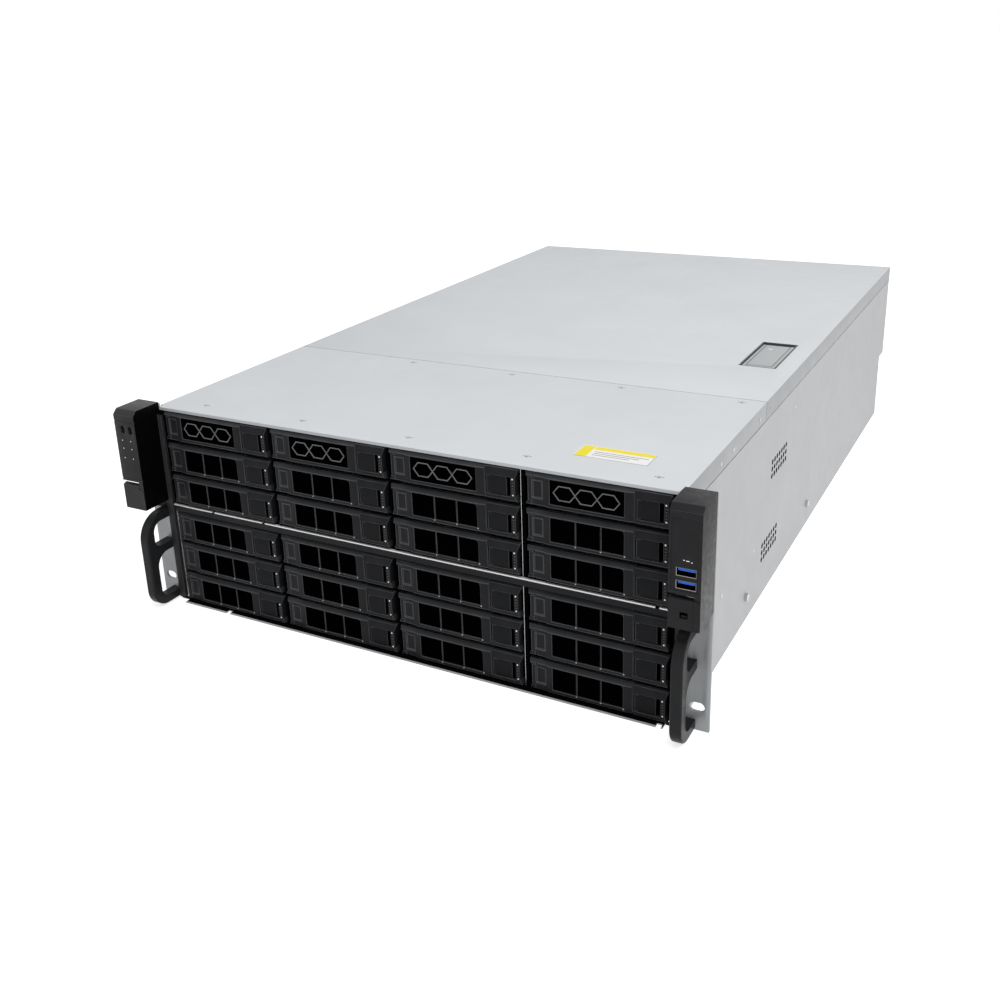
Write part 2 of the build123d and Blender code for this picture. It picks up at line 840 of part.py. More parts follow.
def rounded_block(y0, y1, z0, z1, x0, x1, radii):
    """A block whose upper and lower edges at y0 are rounded with the two radii."""
    shape = block(x0, x1, y0, y1, z0, z1)
    for z, radius in zip((z1, z0), radii):
        edges = [edge for edge in shape.edges().filter_by(Axis.X)
                 if abs(edge.center().Y - y0) < gap / 10 and abs(edge.center().Z - z) < gap / 10]
        shape = fillet(edges, radius)
    return shape


def handle():
    """A front handle: a round-cornered loop with a strut across it."""
    bar_back = handle_front + handle_bar
    loop = rounded_block(handle_front, 0, handle_bottom, handle_top, handle_inner, handle_outer,
                         handle_outer_radii)
    along_x = loop.edges().filter_by(Axis.X)
    rim = [edge for edge in loop.edges() if edge.center().Y < -gap and edge not in along_x]
    loop = fillet(rim, handle_edge_radius)
    loop -= rounded_block(bar_back, gap, handle_bottom + handle_leg, handle_strut_low,
                          handle_inner - gap, handle_outer + gap, handle_lower_radii)
    return loop - rounded_block(bar_back, gap, handle_strut_high, handle_top - handle_leg,
                                handle_inner - gap, handle_outer + gap, handle_upper_radii)


def front_handles():
    return group([handle(), mirrored(handle())])


# Fans

fan_motor = 4.0
fan_strut = 4.0
fan_clearance = 1.5
rotor_recess = 5.0
shaft_recess = 8.0
blade_sheet = 1.8


def fan_centre(index):
    return (index - (fan_count - 1) / 2) * fan_pitch


def fan_wall():
    """The cross wall with its three fan housings, each with a motor plate and a shaft."""
    edge = half_width - wall - 2 * flange_leaf
    front = fan_wall_plane + wall
    back = front + fan_depth
    motor = back - fan_motor
    half = fan_size / 2
    plate = block(-edge, edge, fan_wall_plane, front, floor_sheet, under_cover - gap)
    housings = []
    for index in range(fan_count):
        x = fan_centre(index)
        plate -= rod_y(x, fan_centre_z, fan_wall_plane - gap, front + gap, fan_bore_radius)
        housing = block(x - half, x + half, front, back, fan_centre_z - half, fan_centre_z + half)
        housing -= rod_y(x, fan_centre_z, front - gap, back + gap, fan_bore_radius)
        housing += rod_y(x, fan_centre_z, motor, back, fan_hub_radius)
        strut = Pos(x, (motor + back) / 2, fan_centre_z) * Box(2 * fan_bore_radius + gap, fan_motor, fan_strut)
        for angle in (45, 135):
            housing += strut.rotate(Axis((x, 0, fan_centre_z), (0, 1, 0)), angle)
        housing += rod_y(x, fan_centre_z, front + shaft_recess, motor + gap, fan_shaft_radius)
        housings.append(housing)
    return group([plate] + housings)


def fan_rotor(index):
    """A hub with slanted blades, turning on the housing's shaft."""
    x = fan_centre(index)
    housing_front = fan_wall_plane + wall
    front = housing_front + rotor_recess
    back = housing_front + fan_depth - fan_motor - fan_clearance
    reach = fan_bore_radius - fan_clearance
    rotor = rod_y(x, fan_centre_z, front, back, fan_hub_radius)
    swept = rod_y(x, fan_centre_z, front, back, reach)
    span = reach - fan_hub_radius + 2 * fan_clearance
    middle = Pos(x, (front + back) / 2, fan_centre_z + fan_hub_radius - fan_clearance + span / 2)
    blade = swept & (middle * Rot(0, 0, fan_blade_angle) * Box(blade_sheet, 2 * fan_depth, span))
    for number in range(fan_blades):
        rotor += blade.rotate(Axis((x, 0, fan_centre_z), (0, 1, 0)), number * 360 / fan_blades)
    return rotor - rod_y(x, fan_centre_z, housing_front + shaft_recess - gap, back + gap,
                         fan_shaft_radius + running_clearance)


# Mainboard

cooler_width = 82.0
cooler_length = 100.0
cooler_height = 62.0
cooler_base = 5.0
cooler_fins = 15
cooler_fin = 0.9
cooler_gap = 4.0
cooler_edge_gap = 25.0
cooler_centre_y = 90.0
processor_width = 68.0
processor_length = 80.0
processor_height = 5.0
module_count = 4
module_pitch = 5.0
module_length = 133.4
module_height = 31.0
module_sheet = 1.4
module_socket = 4.0
module_socket_length = 144.0
standoff_radius = 3.0
standoff_inset = 8.0
network_port_count = 4
network_port_pitch = 20.0
network_port_start = -60.0
network_port_wall = 1.6


def network_places():
    return [network_port_start + index * network_port_pitch for index in range(network_port_count)]


def board_top():
    return board_height + board_thickness


def cooler_places():
    """The X places of the two processors."""
    inset = cooler_edge_gap + cooler_width / 2
    return [board_left + inset, board_right - inset]


def module_places():
    """The X places of the memory modules, in groups either side of each cooler."""
    offsets = [cooler_width / 2 + cooler_gap + index * module_pitch for index in range(module_count)]
    return [centre + side * offset for centre in cooler_places() for side in (-1, 1) for offset in offsets]


def mainboard():
    """The board with its standoffs, processor sockets, memory sockets and rear ports."""
    top = board_top()
    centre_y = board_front + cooler_centre_y
    pieces = [block(board_left, board_right, board_front, board_rear, board_height, top)]
    for x in (board_left + standoff_inset, (board_left + board_right) / 2, board_right - standoff_inset):
        for y in (board_front + standoff_inset, (board_front + board_rear) / 2, board_rear - 3 * standoff_inset):
            pieces.append(rod_z(x, y, floor_sheet, board_height, standoff_radius))
    for x in cooler_places():
        pieces.append(block(x - processor_width / 2, x + processor_width / 2, centre_y - processor_length / 2,
                            centre_y + processor_length / 2, top, top + processor_height))
    for x in module_places():
        pieces.append(block(x - module_socket / 2, x + module_socket / 2, centre_y - module_socket_length / 2,
                            centre_y + module_socket_length / 2, top, top + module_socket))
    for left in network_places():
        right = left + network_port_width
        front = lower_rear - network_port_length
        port = block(left, right, front, lower_rear + gap, top, top + network_port_height)
        port -= block(left + network_port_wall, right - network_port_wall, front + 2 * network_port_wall,
                      lower_rear + 2 * gap, top + 2 * network_port_wall, top + network_port_height - network_port_wall)
        pieces.append(port)
    return group(pieces)


def processor_coolers():
    """Two finned heat sinks."""
    centre_y = board_front + cooler_centre_y
    low = board_top() + processor_height
    fin_pitch = (cooler_width - cooler_fin) / (cooler_fins - 1)
    pieces = []
    for centre in cooler_places():
        left = centre - cooler_width / 2
        rear = centre_y + cooler_length / 2
        cooler = block(left, left + cooler_width, rear - cooler_length, rear, low, low + cooler_base)
        for index in range(cooler_fins):
            x = left + index * fin_pitch
            cooler += block(x, x + cooler_fin, rear - cooler_length, rear, low, low + cooler_height)
        pieces.append(cooler)
    return group(pieces)


def memory_modules():
    centre_y = board_front + cooler_centre_y
    low = board_top() + module_socket
    return group([block(x - module_sheet / 2, x + module_sheet / 2, centre_y - module_length / 2,
                        centre_y + module_length / 2, low, low + module_height) for x in module_places()])


# Power supplies

inlet_width = 24.0
inlet_height = 16.5
inlet_depth = 13.0
inlet_inset = 7.0
inlet_blades = ((-7.0, 0.0), (0.0, 3.5), (7.0, 0.0))
inlet_blade = 2.0
supply_handle_bar = 4.0
supply_handle_width = 30.0
supply_handle_inset = 4.5


def power_supply(index):
    """A power supply unit with a cord inlet and a pull handle at its rear."""
    left = supply_left + index * supply_pitch
    right = left + supply_width
    low = floor_sheet + gap
    high = low + supply_height
    rear = lower_rear
    unit = block(left, right, rear - supply_length, rear, low, high)
    inlet_left = left + inlet_inset
    inlet_low = low + (supply_height - inlet_height) / 2
    unit -= block(inlet_left, inlet_left + inlet_width, rear - inlet_depth, rear + gap,
                  inlet_low, inlet_low + inlet_height)
    for offset, rise in inlet_blades:
        x = inlet_left + inlet_width / 2 + offset
        z = inlet_low + inlet_height / 2 + rise
        unit += block(x - inlet_blade / 2, x + inlet_blade / 2, rear - inlet_depth - gap,
                      rear - inlet_blade, z - inlet_blade, z + inlet_blade)
    grip_right = right - supply_handle_inset
    grip_left = grip_right - supply_handle_width
    grip_low = low + supply_handle_inset
    grip_high = high - supply_handle_inset
    grip = block(grip_left, grip_right, rear - gap, rear + supply_handle_reach, grip_low, grip_high)
    grip -= block(grip_left - gap, grip_right + gap, rear, rear + supply_handle_reach - supply_handle_bar,
                  grip_low + supply_handle_bar, grip_high - supply_handle_bar)
    return unit + grip


# Fasteners

stud_places = (153.8, 353.8)
stud_height = 22.6
stud_radius = 3.2
stud_length = 2.6


def fasteners():
    """Rivet heads of the front cover and side walls, and the studs for the slide rails."""
    pieces = [top_rivet(front_rivet_start + index * front_rivet_pitch, front_rivet_y) for index in range(5)]
    pieces += [top_rivet(split_rivet_start + index * split_rivet_pitch, split_rivet_y) for index in range(4)]
    side_pieces = [side_rivet(y, body_height - skirt_rivet_drop) for y in front_skirt_rivets]
    side_pieces += [side_rivet(y, z) for y, z in front_wall_rivets]
    side_pieces += [side_rivet(body_depth - setback, z) for setback, z in rear_wall_rivets]
    side_pieces += [rod_x(y, stud_height, half_width, half_width + stud_length, stud_radius) for y in stud_places]
    return group(pieces + side_pieces + [mirrored(piece) for piece in side_pieces])


def drive_nodes():
    """Every carrier, with the top row's levers and buttons as nodes of their own."""
    nodes = {}
    for row in range(2 * rows_in_half):
        top_row = row == 0
        pieces = carrier(disk_offset(row), not top_row)
        for column in range(columns):
            nodes[f"drive_carrier_r{row + 1}_c{column + 1}"] = place_in_bay(pieces, column, row)
    lever = carrier_lever(True)
    button = carrier_button()
    for column in range(columns):
        nodes[f"carrier_lever_c{column + 1}"] = place_in_bay([lever], column, 0)
        nodes[f"carrier_button_c{column + 1}"] = place_in_bay([button], column, 0)
    return nodes


def all_nodes():
    """Every node's name with its shape."""
    nodes = {
        "base_tray": base_tray(),
        "rear_panel": rear_panel(),
        "front_cover": front_cover(),
        "rear_cover": rear_cover(),
        "latch_pan": latch_pan(),
        "latch_lever": latch_lever(),
        "drive_cage": drive_cage(),
        "shelf_trim": shelf_trim(),
        "backplane": backplane(),
        "fan_wall": fan_wall(),
        "mainboard": mainboard(),
        "processor_coolers": processor_coolers(),
        "memory_modules": memory_modules(),
        "mounting_flanges": mounting_flanges(),
        "left_ear": left_ear(),
        "right_ear": right_ear(),
        "left_ear_latch": mirrored(ear_latch(-1)),
        "right_ear_latch": ear_latch(1),
        "front_handles": front_handles(),
        "power_button": ear_button(power_button_x),
        "reset_button": ear_button(reset_button_x),
        "usb_ports": usb_ports(),
        "fasteners": fasteners(),
    }
    for index in range(fan_count):
        nodes[f"fan_rotor_{index + 1}"] = fan_rotor(index)
    for index in range(2):
        nodes[f"power_supply_{index + 1}"] = power_supply(index)
    nodes.update(drive_nodes())
    return nodes


os.makedirs("parts", exist_ok=True)
for name, shape in all_nodes().items():
    export_step(shape, f"parts/{name}.step")
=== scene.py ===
import math

import bmesh
import bpy
from mathutils import Matrix, Vector


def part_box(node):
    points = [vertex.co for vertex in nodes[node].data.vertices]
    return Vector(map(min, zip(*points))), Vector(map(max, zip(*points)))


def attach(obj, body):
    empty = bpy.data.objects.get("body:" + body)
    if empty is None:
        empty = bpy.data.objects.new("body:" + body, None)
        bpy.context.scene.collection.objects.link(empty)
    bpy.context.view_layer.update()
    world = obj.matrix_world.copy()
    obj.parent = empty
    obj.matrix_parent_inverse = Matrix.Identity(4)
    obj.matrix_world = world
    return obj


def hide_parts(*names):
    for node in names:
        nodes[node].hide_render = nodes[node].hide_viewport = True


# Lengths are written in millimetres and scaled once, when a mesh or a place is made.
MM = 0.001

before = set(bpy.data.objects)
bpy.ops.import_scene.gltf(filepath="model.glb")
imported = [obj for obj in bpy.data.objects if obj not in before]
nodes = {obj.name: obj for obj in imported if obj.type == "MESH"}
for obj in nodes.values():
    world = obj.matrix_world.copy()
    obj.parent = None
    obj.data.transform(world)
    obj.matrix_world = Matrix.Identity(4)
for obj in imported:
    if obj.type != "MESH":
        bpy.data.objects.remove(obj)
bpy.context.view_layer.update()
rows = 6
columns = 4

# Carrier, in its own bay: x from the bay's left boundary, z from the row's middle
bay_pitch = 107.0
tray_outer = 0.9
disk_half = 12.7
upper_lift = -0.7
lower_lift = 0.4
face_half = 12.0
face_plane = -4.0
low_bevel = 0.9
top_bevel = 2.9
top_band = 9.5
lever_back = 0.5
plate_front = 0.9
plate_back = 2.9
pivot_x = 5.4
pivot_y = -1.75
knuckle = 2.25
lug_inner = 8.4
lever_right = 80.0
block_left = 80.4
block_right = 105.6
pocket_right = 100.2
pocket_low = -8.5
pocket_high = 5.7
window_left = 20.2
window_right = 73.2
window_half = 8.8
window_bars = (38.1, 56.3)
window_bar = 1.1
window_cover = 0.3
sheet_back = 1.5
corner_radius = 2.6

# The slanted ends of a carrier's front, as points of z and x
left_end = ((-12.0, 1.9), (-8.5, 3.3), (7.0, 3.3), (12.0, 1.4))
right_end = ((-12.0, 105.2), (-8.3, 103.3), (5.8, 103.3), (11.4, 105.6), (12.0, 105.6))

# Faces this far in front that look up at least this steeply have the band's lighter material, painted light
# from above
band_front = 0.5
band_slope = 0.45

# Normals with more than this along an axis count as facing along it
facing = 0.9

# Points of a grid this close to a line count as on it
near = 0.01

# Points closer than this are one
same_point = 0.0005

bevel_steps = 2


# Small tools

def box_mm(node):
    """The lowest and highest corner of a node, in millimetres."""
    low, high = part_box(node)
    return low / MM, high / MM


def add_object(name, data):
    """An object in the scene around a mesh, a camera or a light."""
    piece = bpy.data.objects.new(name, data)
    bpy.context.scene.collection.objects.link(piece)
    return piece


def new_object(name, mesh, material):
    """An object around a mesh, with one material."""
    if len(mesh.materials) > 1:
        mesh.materials[0] = material
    else:
        mesh.materials.clear()
        mesh.materials.append(material)
    return add_object(name, mesh)


def mesh_from(name, points, faces):
    """A mesh from points in millimetres and faces, with its normals turned outwards."""
    mesh = bpy.data.meshes.new(name)
    mesh.from_pydata([Vector(point) * MM for point in points], [], faces)
    shape = bmesh.new()
    shape.from_mesh(mesh)
    bmesh.ops.remove_doubles(shape, verts=shape.verts, dist=same_point * MM)
    bmesh.ops.recalc_face_normals(shape, faces=shape.faces)
    shape.to_mesh(mesh)
    shape.free()
    return mesh


def finished(mesh, bevel, edge=None, band=None):
    """The mesh with rounded edges; edge and band are the lighter materials of its roundings and upper slopes:
    painted highlights and painted light.
    """
    sharp_angle = 25.0
    if edge is not None:
        for material in (edge, edge, band or edge):
            mesh.materials.append(material)
    if band is not None:
        for face in mesh.polygons:
            if face.normal.z > band_slope and face.center.y < -band_front * MM:
                face.material_index = 2
    holder = add_object("holder", mesh)
    rounding = holder.modifiers.new("bevel", "BEVEL")
    rounding.width = bevel * MM
    rounding.segments = bevel_steps
    rounding.limit_method = "ANGLE"
    rounding.angle_limit = math.radians(sharp_angle)
    rounding.harden_normals = True
    rounding.material = -1 if edge is None else 1
    for face in mesh.polygons:
        face.use_smooth = True
    graph = bpy.context.evaluated_depsgraph_get()
    result = bpy.data.meshes.new_from_object(holder.evaluated_get(graph))
    bpy.data.objects.remove(holder)
    bpy.data.meshes.remove(mesh)
    return result


def merged(name, meshes):
    """Several meshes as one."""
    shape = bmesh.new()
    materials = []
    for mesh in meshes:
        shape.from_mesh(mesh)
        if len(mesh.materials) > len(materials):
            materials = list(mesh.materials)
        bpy.data.meshes.remove(mesh)
    result = bpy.data.meshes.new(name)
    shape.to_mesh(result)
    shape.free()
    for material in materials:
        result.materials.append(material)
    return result


def slab(name, x0, x1, y0, y1, z0, z1):
    """A block between two corners."""
    points = [(x, y, z) for x in (x0, x1) for y in (y0, y1) for z in (z0, z1)]
    faces = [(0, 1, 3, 2), (4, 6, 7, 5), (0, 4, 5, 1), (2, 3, 7, 6), (0, 2, 6, 4), (1, 5, 7, 3)]
    return mesh_from(name, points, faces)


def prism(name, outline, low, high, place):
    """An outline in two coordinates pushed along the third; place turns (a, b, c) into x, y, z."""
    count = len(outline)
    points = [place(a, b, low) for a, b in outline] + [place(a, b, high) for a, b in outline]
    faces = [tuple(range(count)), tuple(range(count, 2 * count))]
    faces += [(i, (i + 1) % count, count + (i + 1) % count, count + i) for i in range(count)]
    return mesh_from(name, points, faces)


def along_y(a, b, c):
    """For outlines in x and z that are pushed along y."""
    return a, c, b


def along_z(a, b, c):
    """For outlines in x and y that are pushed along z."""
    return a, b, c


def circle(x, z, radius, count):
    """A regular outline about a point."""
    turn = 2 * math.pi / count
    return [(x + radius * math.cos(i * turn), z + radius * math.sin(i * turn)) for i in range(count)]


def ring_mesh(name, outer, inner, low, high, place):
    """A closed frame between two outlines with as many points each."""
    count = len(outer)
    loops = [(outer, low), (outer, high), (inner, high), (inner, low)]
    points = [place(a, b, level) for outline, level in loops for a, b in outline]
    faces = []
    for start in range(4):
        end = (start + 1) % 4
        for i in range(count):
            j = (i + 1) % count
            faces.append((start * count + i, start * count + j, end * count + j, end * count + i))
    return mesh_from(name, points, faces)


def panel(name, xs, zs, filled, front, back, x_at):
    """A moulded front made of grid cells between two depths.

    filled(x, z) says whether the cell with that middle is there, front and back give a corner's depths, and
    x_at gives its place along x."""
    points = {}
    cells = []

    def corner(x, z):
        return points.setdefault((round(x, 4), round(z, 4)), len(points))

    for x0, x1 in zip(xs, xs[1:]):
        for z0, z1 in zip(zs, zs[1:]):
            if filled((x0 + x1) / 2, (z0 + z1) / 2):
                cells.append([corner(x0, z0), corner(x1, z0), corner(x1, z1), corner(x0, z1)])
    keys = list(points)
    count = len(keys)
    coords = [(x_at(x, z), front(x, z), z) for x, z in keys]
    coords += [(x_at(x, z), back(x, z), z) for x, z in keys]
    faces = [tuple(cell) for cell in cells]
    faces += [tuple(count + v for v in reversed(cell)) for cell in cells]
    used = {}
    for cell in cells:
        for a, b in zip(cell, cell[1:] + cell[:1]):
            used.setdefault(frozenset((a, b)), []).append((a, b))
    faces += [(a, b, count + b, count + a) for pairs in used.values() if len(pairs) == 1 for a, b in pairs]
    return mesh_from(name, coords, faces)


# Materials

# Most values of a noise pattern lie between these
noise_low = 0.3
noise_high = 0.7


def set_inputs(node, values):
    """Sets some of a shader node's inputs."""
    for name, value in values.items():
        node.inputs[name].default_value = value


def shader(name, colour, metallic, roughness, specular=0.5):
    """A new material with its Principled shader's plain values set."""
    material = bpy.data.materials.new(name)
    material.use_nodes = True
    principled = material.node_tree.nodes["Principled BSDF"]
    set_inputs(principled, {"Base Color": (*colour, 1.0), "Metallic": metallic, "Roughness": roughness,
                            "Specular IOR Level": specular})
    return material, principled


def add_noise(material, scale, detail, stretch=(1.0, 1.0, 1.0)):
    """A noise pattern in the object's own space."""
    tree = material.node_tree
    place = tree.nodes.new("ShaderNodeTexCoord")
    mapping = tree.nodes.new("ShaderNodeMapping")
    noise = tree.nodes.new("ShaderNodeTexNoise")
    set_inputs(mapping, {"Scale": stretch})
    set_inputs(noise, {"Scale": scale, "Detail": detail})
    tree.links.new(place.outputs["Object"], mapping.inputs["Vector"])
    tree.links.new(mapping.outputs["Vector"], noise.inputs["Vector"])
    return noise


def vary_colour(material, principled, noise, colour, spread):
    """Lets the colour wander a little either side of its mean."""
    tree = material.node_tree
    ramp = tree.nodes.new("ShaderNodeValToRGB")
    for element, position, share in zip(ramp.color_ramp.elements, (noise_low, noise_high), (-spread, spread)):
        element.position = position
        element.color = (*[min(1.0, c * (1 + share)) for c in colour], 1.0)
    tree.links.new(noise.outputs["Fac"], ramp.inputs["Fac"])
    tree.links.new(ramp.outputs["Color"], principled.inputs["Base Color"])


def vary_roughness(material, principled, noise, low, high):
    """Lets the roughness wander between two values."""
    tree = material.node_tree
    span = tree.nodes.new("ShaderNodeMapRange")
    set_inputs(span, {"From Min": noise_low, "From Max": noise_high, "To Min": low, "To Max": high})
    tree.links.new(noise.outputs["Fac"], span.inputs["Value"])
    tree.links.new(span.outputs["Result"], principled.inputs["Roughness"])


def add_bump(material, principled, noise, strength, distance):
    """Raises the surface a little where the noise is high; the distance is in millimetres."""
    tree = material.node_tree
    bump = tree.nodes.new("ShaderNodeBump")
    set_inputs(bump, {"Strength": strength, "Distance": distance * MM})
    tree.links.new(noise.outputs["Fac"], bump.inputs["Height"])
    tree.links.new(bump.outputs["Normal"], principled.inputs["Normal"])


def painted(name, colour, roughness=0.55, spread=0.02):
    """Sheet metal with a fine powder coat."""
    material, principled = shader(name, colour, metallic=0.0, roughness=roughness, specular=0.35)
    vary_colour(material, principled, add_noise(material, scale=12.0, detail=3.0), colour, spread)
    vary_roughness(material, principled, add_noise(material, scale=60.0, detail=3.0),
                   low=roughness - 0.06, high=roughness + 0.06)
    fine = add_noise(material, scale=1800.0, detail=2.0)
    add_bump(material, principled, fine, strength=0.12, distance=0.05)
    return material


def metal(name, colour, roughness, stretch=(1.0, 1.0, 1.0), spread=0.08, metallic=0.85):
    """Bare sheet with a rolling grain along one direction."""
    material, principled = shader(name, colour, metallic, roughness)
    grain = add_noise(material, scale=400.0, detail=4.0, stretch=stretch)
    vary_colour(material, principled, add_noise(material, scale=45.0, detail=4.0), colour, spread)
    vary_roughness(material, principled, grain, low=roughness - 0.08, high=roughness + 0.1)
    add_bump(material, principled, grain, strength=0.1, distance=0.03)
    return material


def plastic(name, colour, roughness, grain=0.25, specular=0.4):
    """Moulded plastic with a fine spark-eroded grain."""
    material, principled = shader(name, colour, 0.0, roughness, specular)
    fine = add_noise(material, scale=2600.0, detail=2.0)
    vary_colour(material, principled, add_noise(material, scale=90.0, detail=3.0), colour, spread=0.12)
    vary_roughness(material, principled, add_noise(material, scale=300.0, detail=3.0),
                   low=roughness - 0.07, high=roughness + 0.07)
    add_bump(material, principled, fine, strength=grain, distance=0.04)
    return material


def circuit(name, colour):
    """Solder mask over copper tracks."""
    material, principled = shader(name, colour, metallic=0.0, roughness=0.4)
    tree = material.node_tree
    tracks = tree.nodes.new("ShaderNodeTexBrick")
    shades = {"Color1": 1.0, "Color2": 0.8, "Mortar": 1.9}
    set_inputs(tracks, {"Scale": 90.0, "Mortar Size": 0.06})
    set_inputs(tracks, {name: (*[min(1.0, c * share) for c in colour], 1.0)
                        for name, share in shades.items()})
    place = tree.nodes.new("ShaderNodeTexCoord")
    tree.links.new(place.outputs["Object"], tracks.inputs["Vector"])
    tree.links.new(tracks.outputs["Color"], principled.inputs["Base Color"])
    vary_roughness(material, principled, add_noise(material, scale=200.0, detail=2.0), low=0.3, high=0.5)
    return material


def glow(name, colour, strength):
    """A light pipe: pale plastic with a faint painted glow of its own."""
    material, principled = shader(name, colour, metallic=0.0, roughness=0.35)
    set_inputs(principled, {"Emission Color": (*colour, 1.0), "Emission Strength": strength})
    vary_colour(material, principled, add_noise(material, scale=900.0, detail=2.0), colour, spread=0.1)
    return material


# The colours are linear. After the colour comes the roughness, then for metals the grain's stretch, and for
# plastics the strength of the grain and the gloss.
# One grey paint in lit and shaded copies, as painted light and shade: lightest on the covers' tops, darker on
# the body and darkest on the covers' skirts
paint_top = painted("lit_top_paint", (0.655, 0.675, 0.695))
paint_side = painted("body_paint", (0.555, 0.56, 0.577))
skirt_half_shade_paint = painted("skirt_half_shade_paint", (0.465, 0.475, 0.485))
paint_base = painted("shaded_base_paint", (0.555, 0.56, 0.577))
flange_metal = metal("flange_metal", (0.36, 0.375, 0.385), 0.5, (1.0, 1.0, 0.1), 0.06, 0.35)
lip_metal = metal("lip_metal", (0.8, 0.8, 0.8), 0.3, (0.1, 1.0, 1.0), 0.05, 0.3)
tray_metal = metal("tray_metal", (0.55, 0.56, 0.57), 0.4, (1.0, 0.1, 1.0))
cage_front_metal = metal("cage_front_metal", (0.55, 0.56, 0.57), 0.4, (1.0, 0.1, 1.0))
screw_metal = metal("screw_metal", (0.5, 0.51, 0.52), 0.35)
dark_metal = metal("dark_metal", (0.12, 0.12, 0.125), 0.45)
rim_metal = metal("rim_metal", (0.3, 0.27, 0.235), 0.4)
latch_paint = painted("latch_paint", (0.42, 0.44, 0.45), 0.5, 0.03)
carrier_plastic = plastic("carrier_plastic", (0.021, 0.0215, 0.0235), 0.45, 0.25, 0.07)
button_plastic = plastic("button_plastic", (0.0165, 0.017, 0.0185), 0.5, 0.25, 0.05)
panel_plastic = plastic("panel_plastic", (0.002, 0.002, 0.0025), 0.4, 0.1, 0.03)
# Near-black, dull plastic: painted shade in holes, gaps and recesses, and also the top row's closed panel
shade_and_panel_black = plastic("shade_and_panel_black", (0.0008, 0.0008, 0.001), 0.9, 0.1, 0.0)
hexagon_plastic = plastic("hexagon_plastic", (0.17, 0.17, 0.175), 0.45, 0.1, 0.3)
# A pale plastic for small painted glints
glint_plastic = plastic("glint_plastic", (0.5, 0.5, 0.5), 0.3, 0.1, 0.5)
ear_plastic = plastic("ear_plastic", (0.022, 0.022, 0.024), 0.42, 0.2, 0.1)
# A lighter copy of the ears' plastic for the left ear: painted light, as the light falls on it more directly
left_ear_lit_plastic = plastic("left_ear_lit_plastic", (0.042, 0.042, 0.044), 0.42, 0.2, 0.1)
# Lighter plastics for rounded edges: painted highlights
ear_edge_highlight = plastic("ear_edge_highlight", (0.075, 0.075, 0.08), 0.4, 0.1, 0.2)
carrier_edge_highlight = plastic("carrier_edge_highlight", (0.09, 0.092, 0.098), 0.4, 0.1, 0.15)
# A lighter plastic for the upward slopes of the carriers' fronts: painted light from above
carrier_lit_band = plastic("carrier_lit_band", (0.042, 0.043, 0.046), 0.42, 0.2, 0.1)
strip_plastic = plastic("strip_plastic", (0.07, 0.07, 0.072), 0.4, 0.1, 0.2)
ear_panel_plastic = plastic("ear_panel_plastic", (0.012, 0.0122, 0.0135), 0.42, 0.15, 0.06)
handle_paint = plastic("handle_paint", (0.02, 0.0205, 0.022), 0.33, 0.15, 0.1)
socket_blue = plastic("socket_blue", (0.0, 0.17, 0.9), 0.35, 0.1)
board_mask = circuit("board_mask", (0.015, 0.08, 0.04))
memory_mask = circuit("memory_mask", (0.02, 0.06, 0.035))
cooler_metal = metal("cooler_metal", (0.72, 0.73, 0.75), 0.35, (0.1, 1.0, 1.0))
fan_plastic = plastic("fan_plastic", (0.012, 0.012, 0.013), 0.45)
supply_metal = metal("supply_metal", (0.6, 0.61, 0.62), 0.4, (1.0, 0.1, 1.0))
disk_metal = metal("disk_metal", (0.5, 0.51, 0.53), 0.38, (1.0, 0.2, 1.0))
port_metal = metal("port_metal", (0.78, 0.78, 0.76), 0.25)
# Pale light pipes with a faint painted glow
light_white = glow("light_white", (0.9, 0.92, 0.95), 0.12)
label_white = painted("label_white", (0.86, 0.86, 0.85), 0.5, 0.01)
label_yellow = painted("label_yellow", (0.85, 0.72, 0.02), 0.5, 0.01)
label_ink = painted("label_ink", (0.28, 0.28, 0.28), 0.5, 0.02)


# Carried-over nodes

def dress(node, material, bevel=None, edge=None):
    """Gives a CAD node its material and, where asked, finely rounded edges, which may have their own lighter
    material as a painted highlight.
    """
    weld_gap, flat_angle, sharp_angle = 0.001, 1.0, 35.0
    piece = nodes[node]
    piece.data.materials.clear()
    piece.data.materials.append(material)
    if edge is not None:
        piece.data.materials.append(edge)
    if bevel is not None:
        weld = piece.modifiers.new("weld", "WELD")
        weld.merge_threshold = weld_gap * MM
        flat = piece.modifiers.new("flat", "DECIMATE")
        flat.decimate_type = "DISSOLVE"
        flat.angle_limit = math.radians(flat_angle)
        rounding = piece.modifiers.new("bevel", "BEVEL")
        rounding.width = bevel * MM
        rounding.segments = bevel_steps
        rounding.limit_method = "ANGLE"
        rounding.angle_limit = math.radians(sharp_angle)
        rounding.material = -1 if edge is None else 1
        rounding.harden_normals = True
        for face in piece.data.polygons:
            face.use_smooth = True


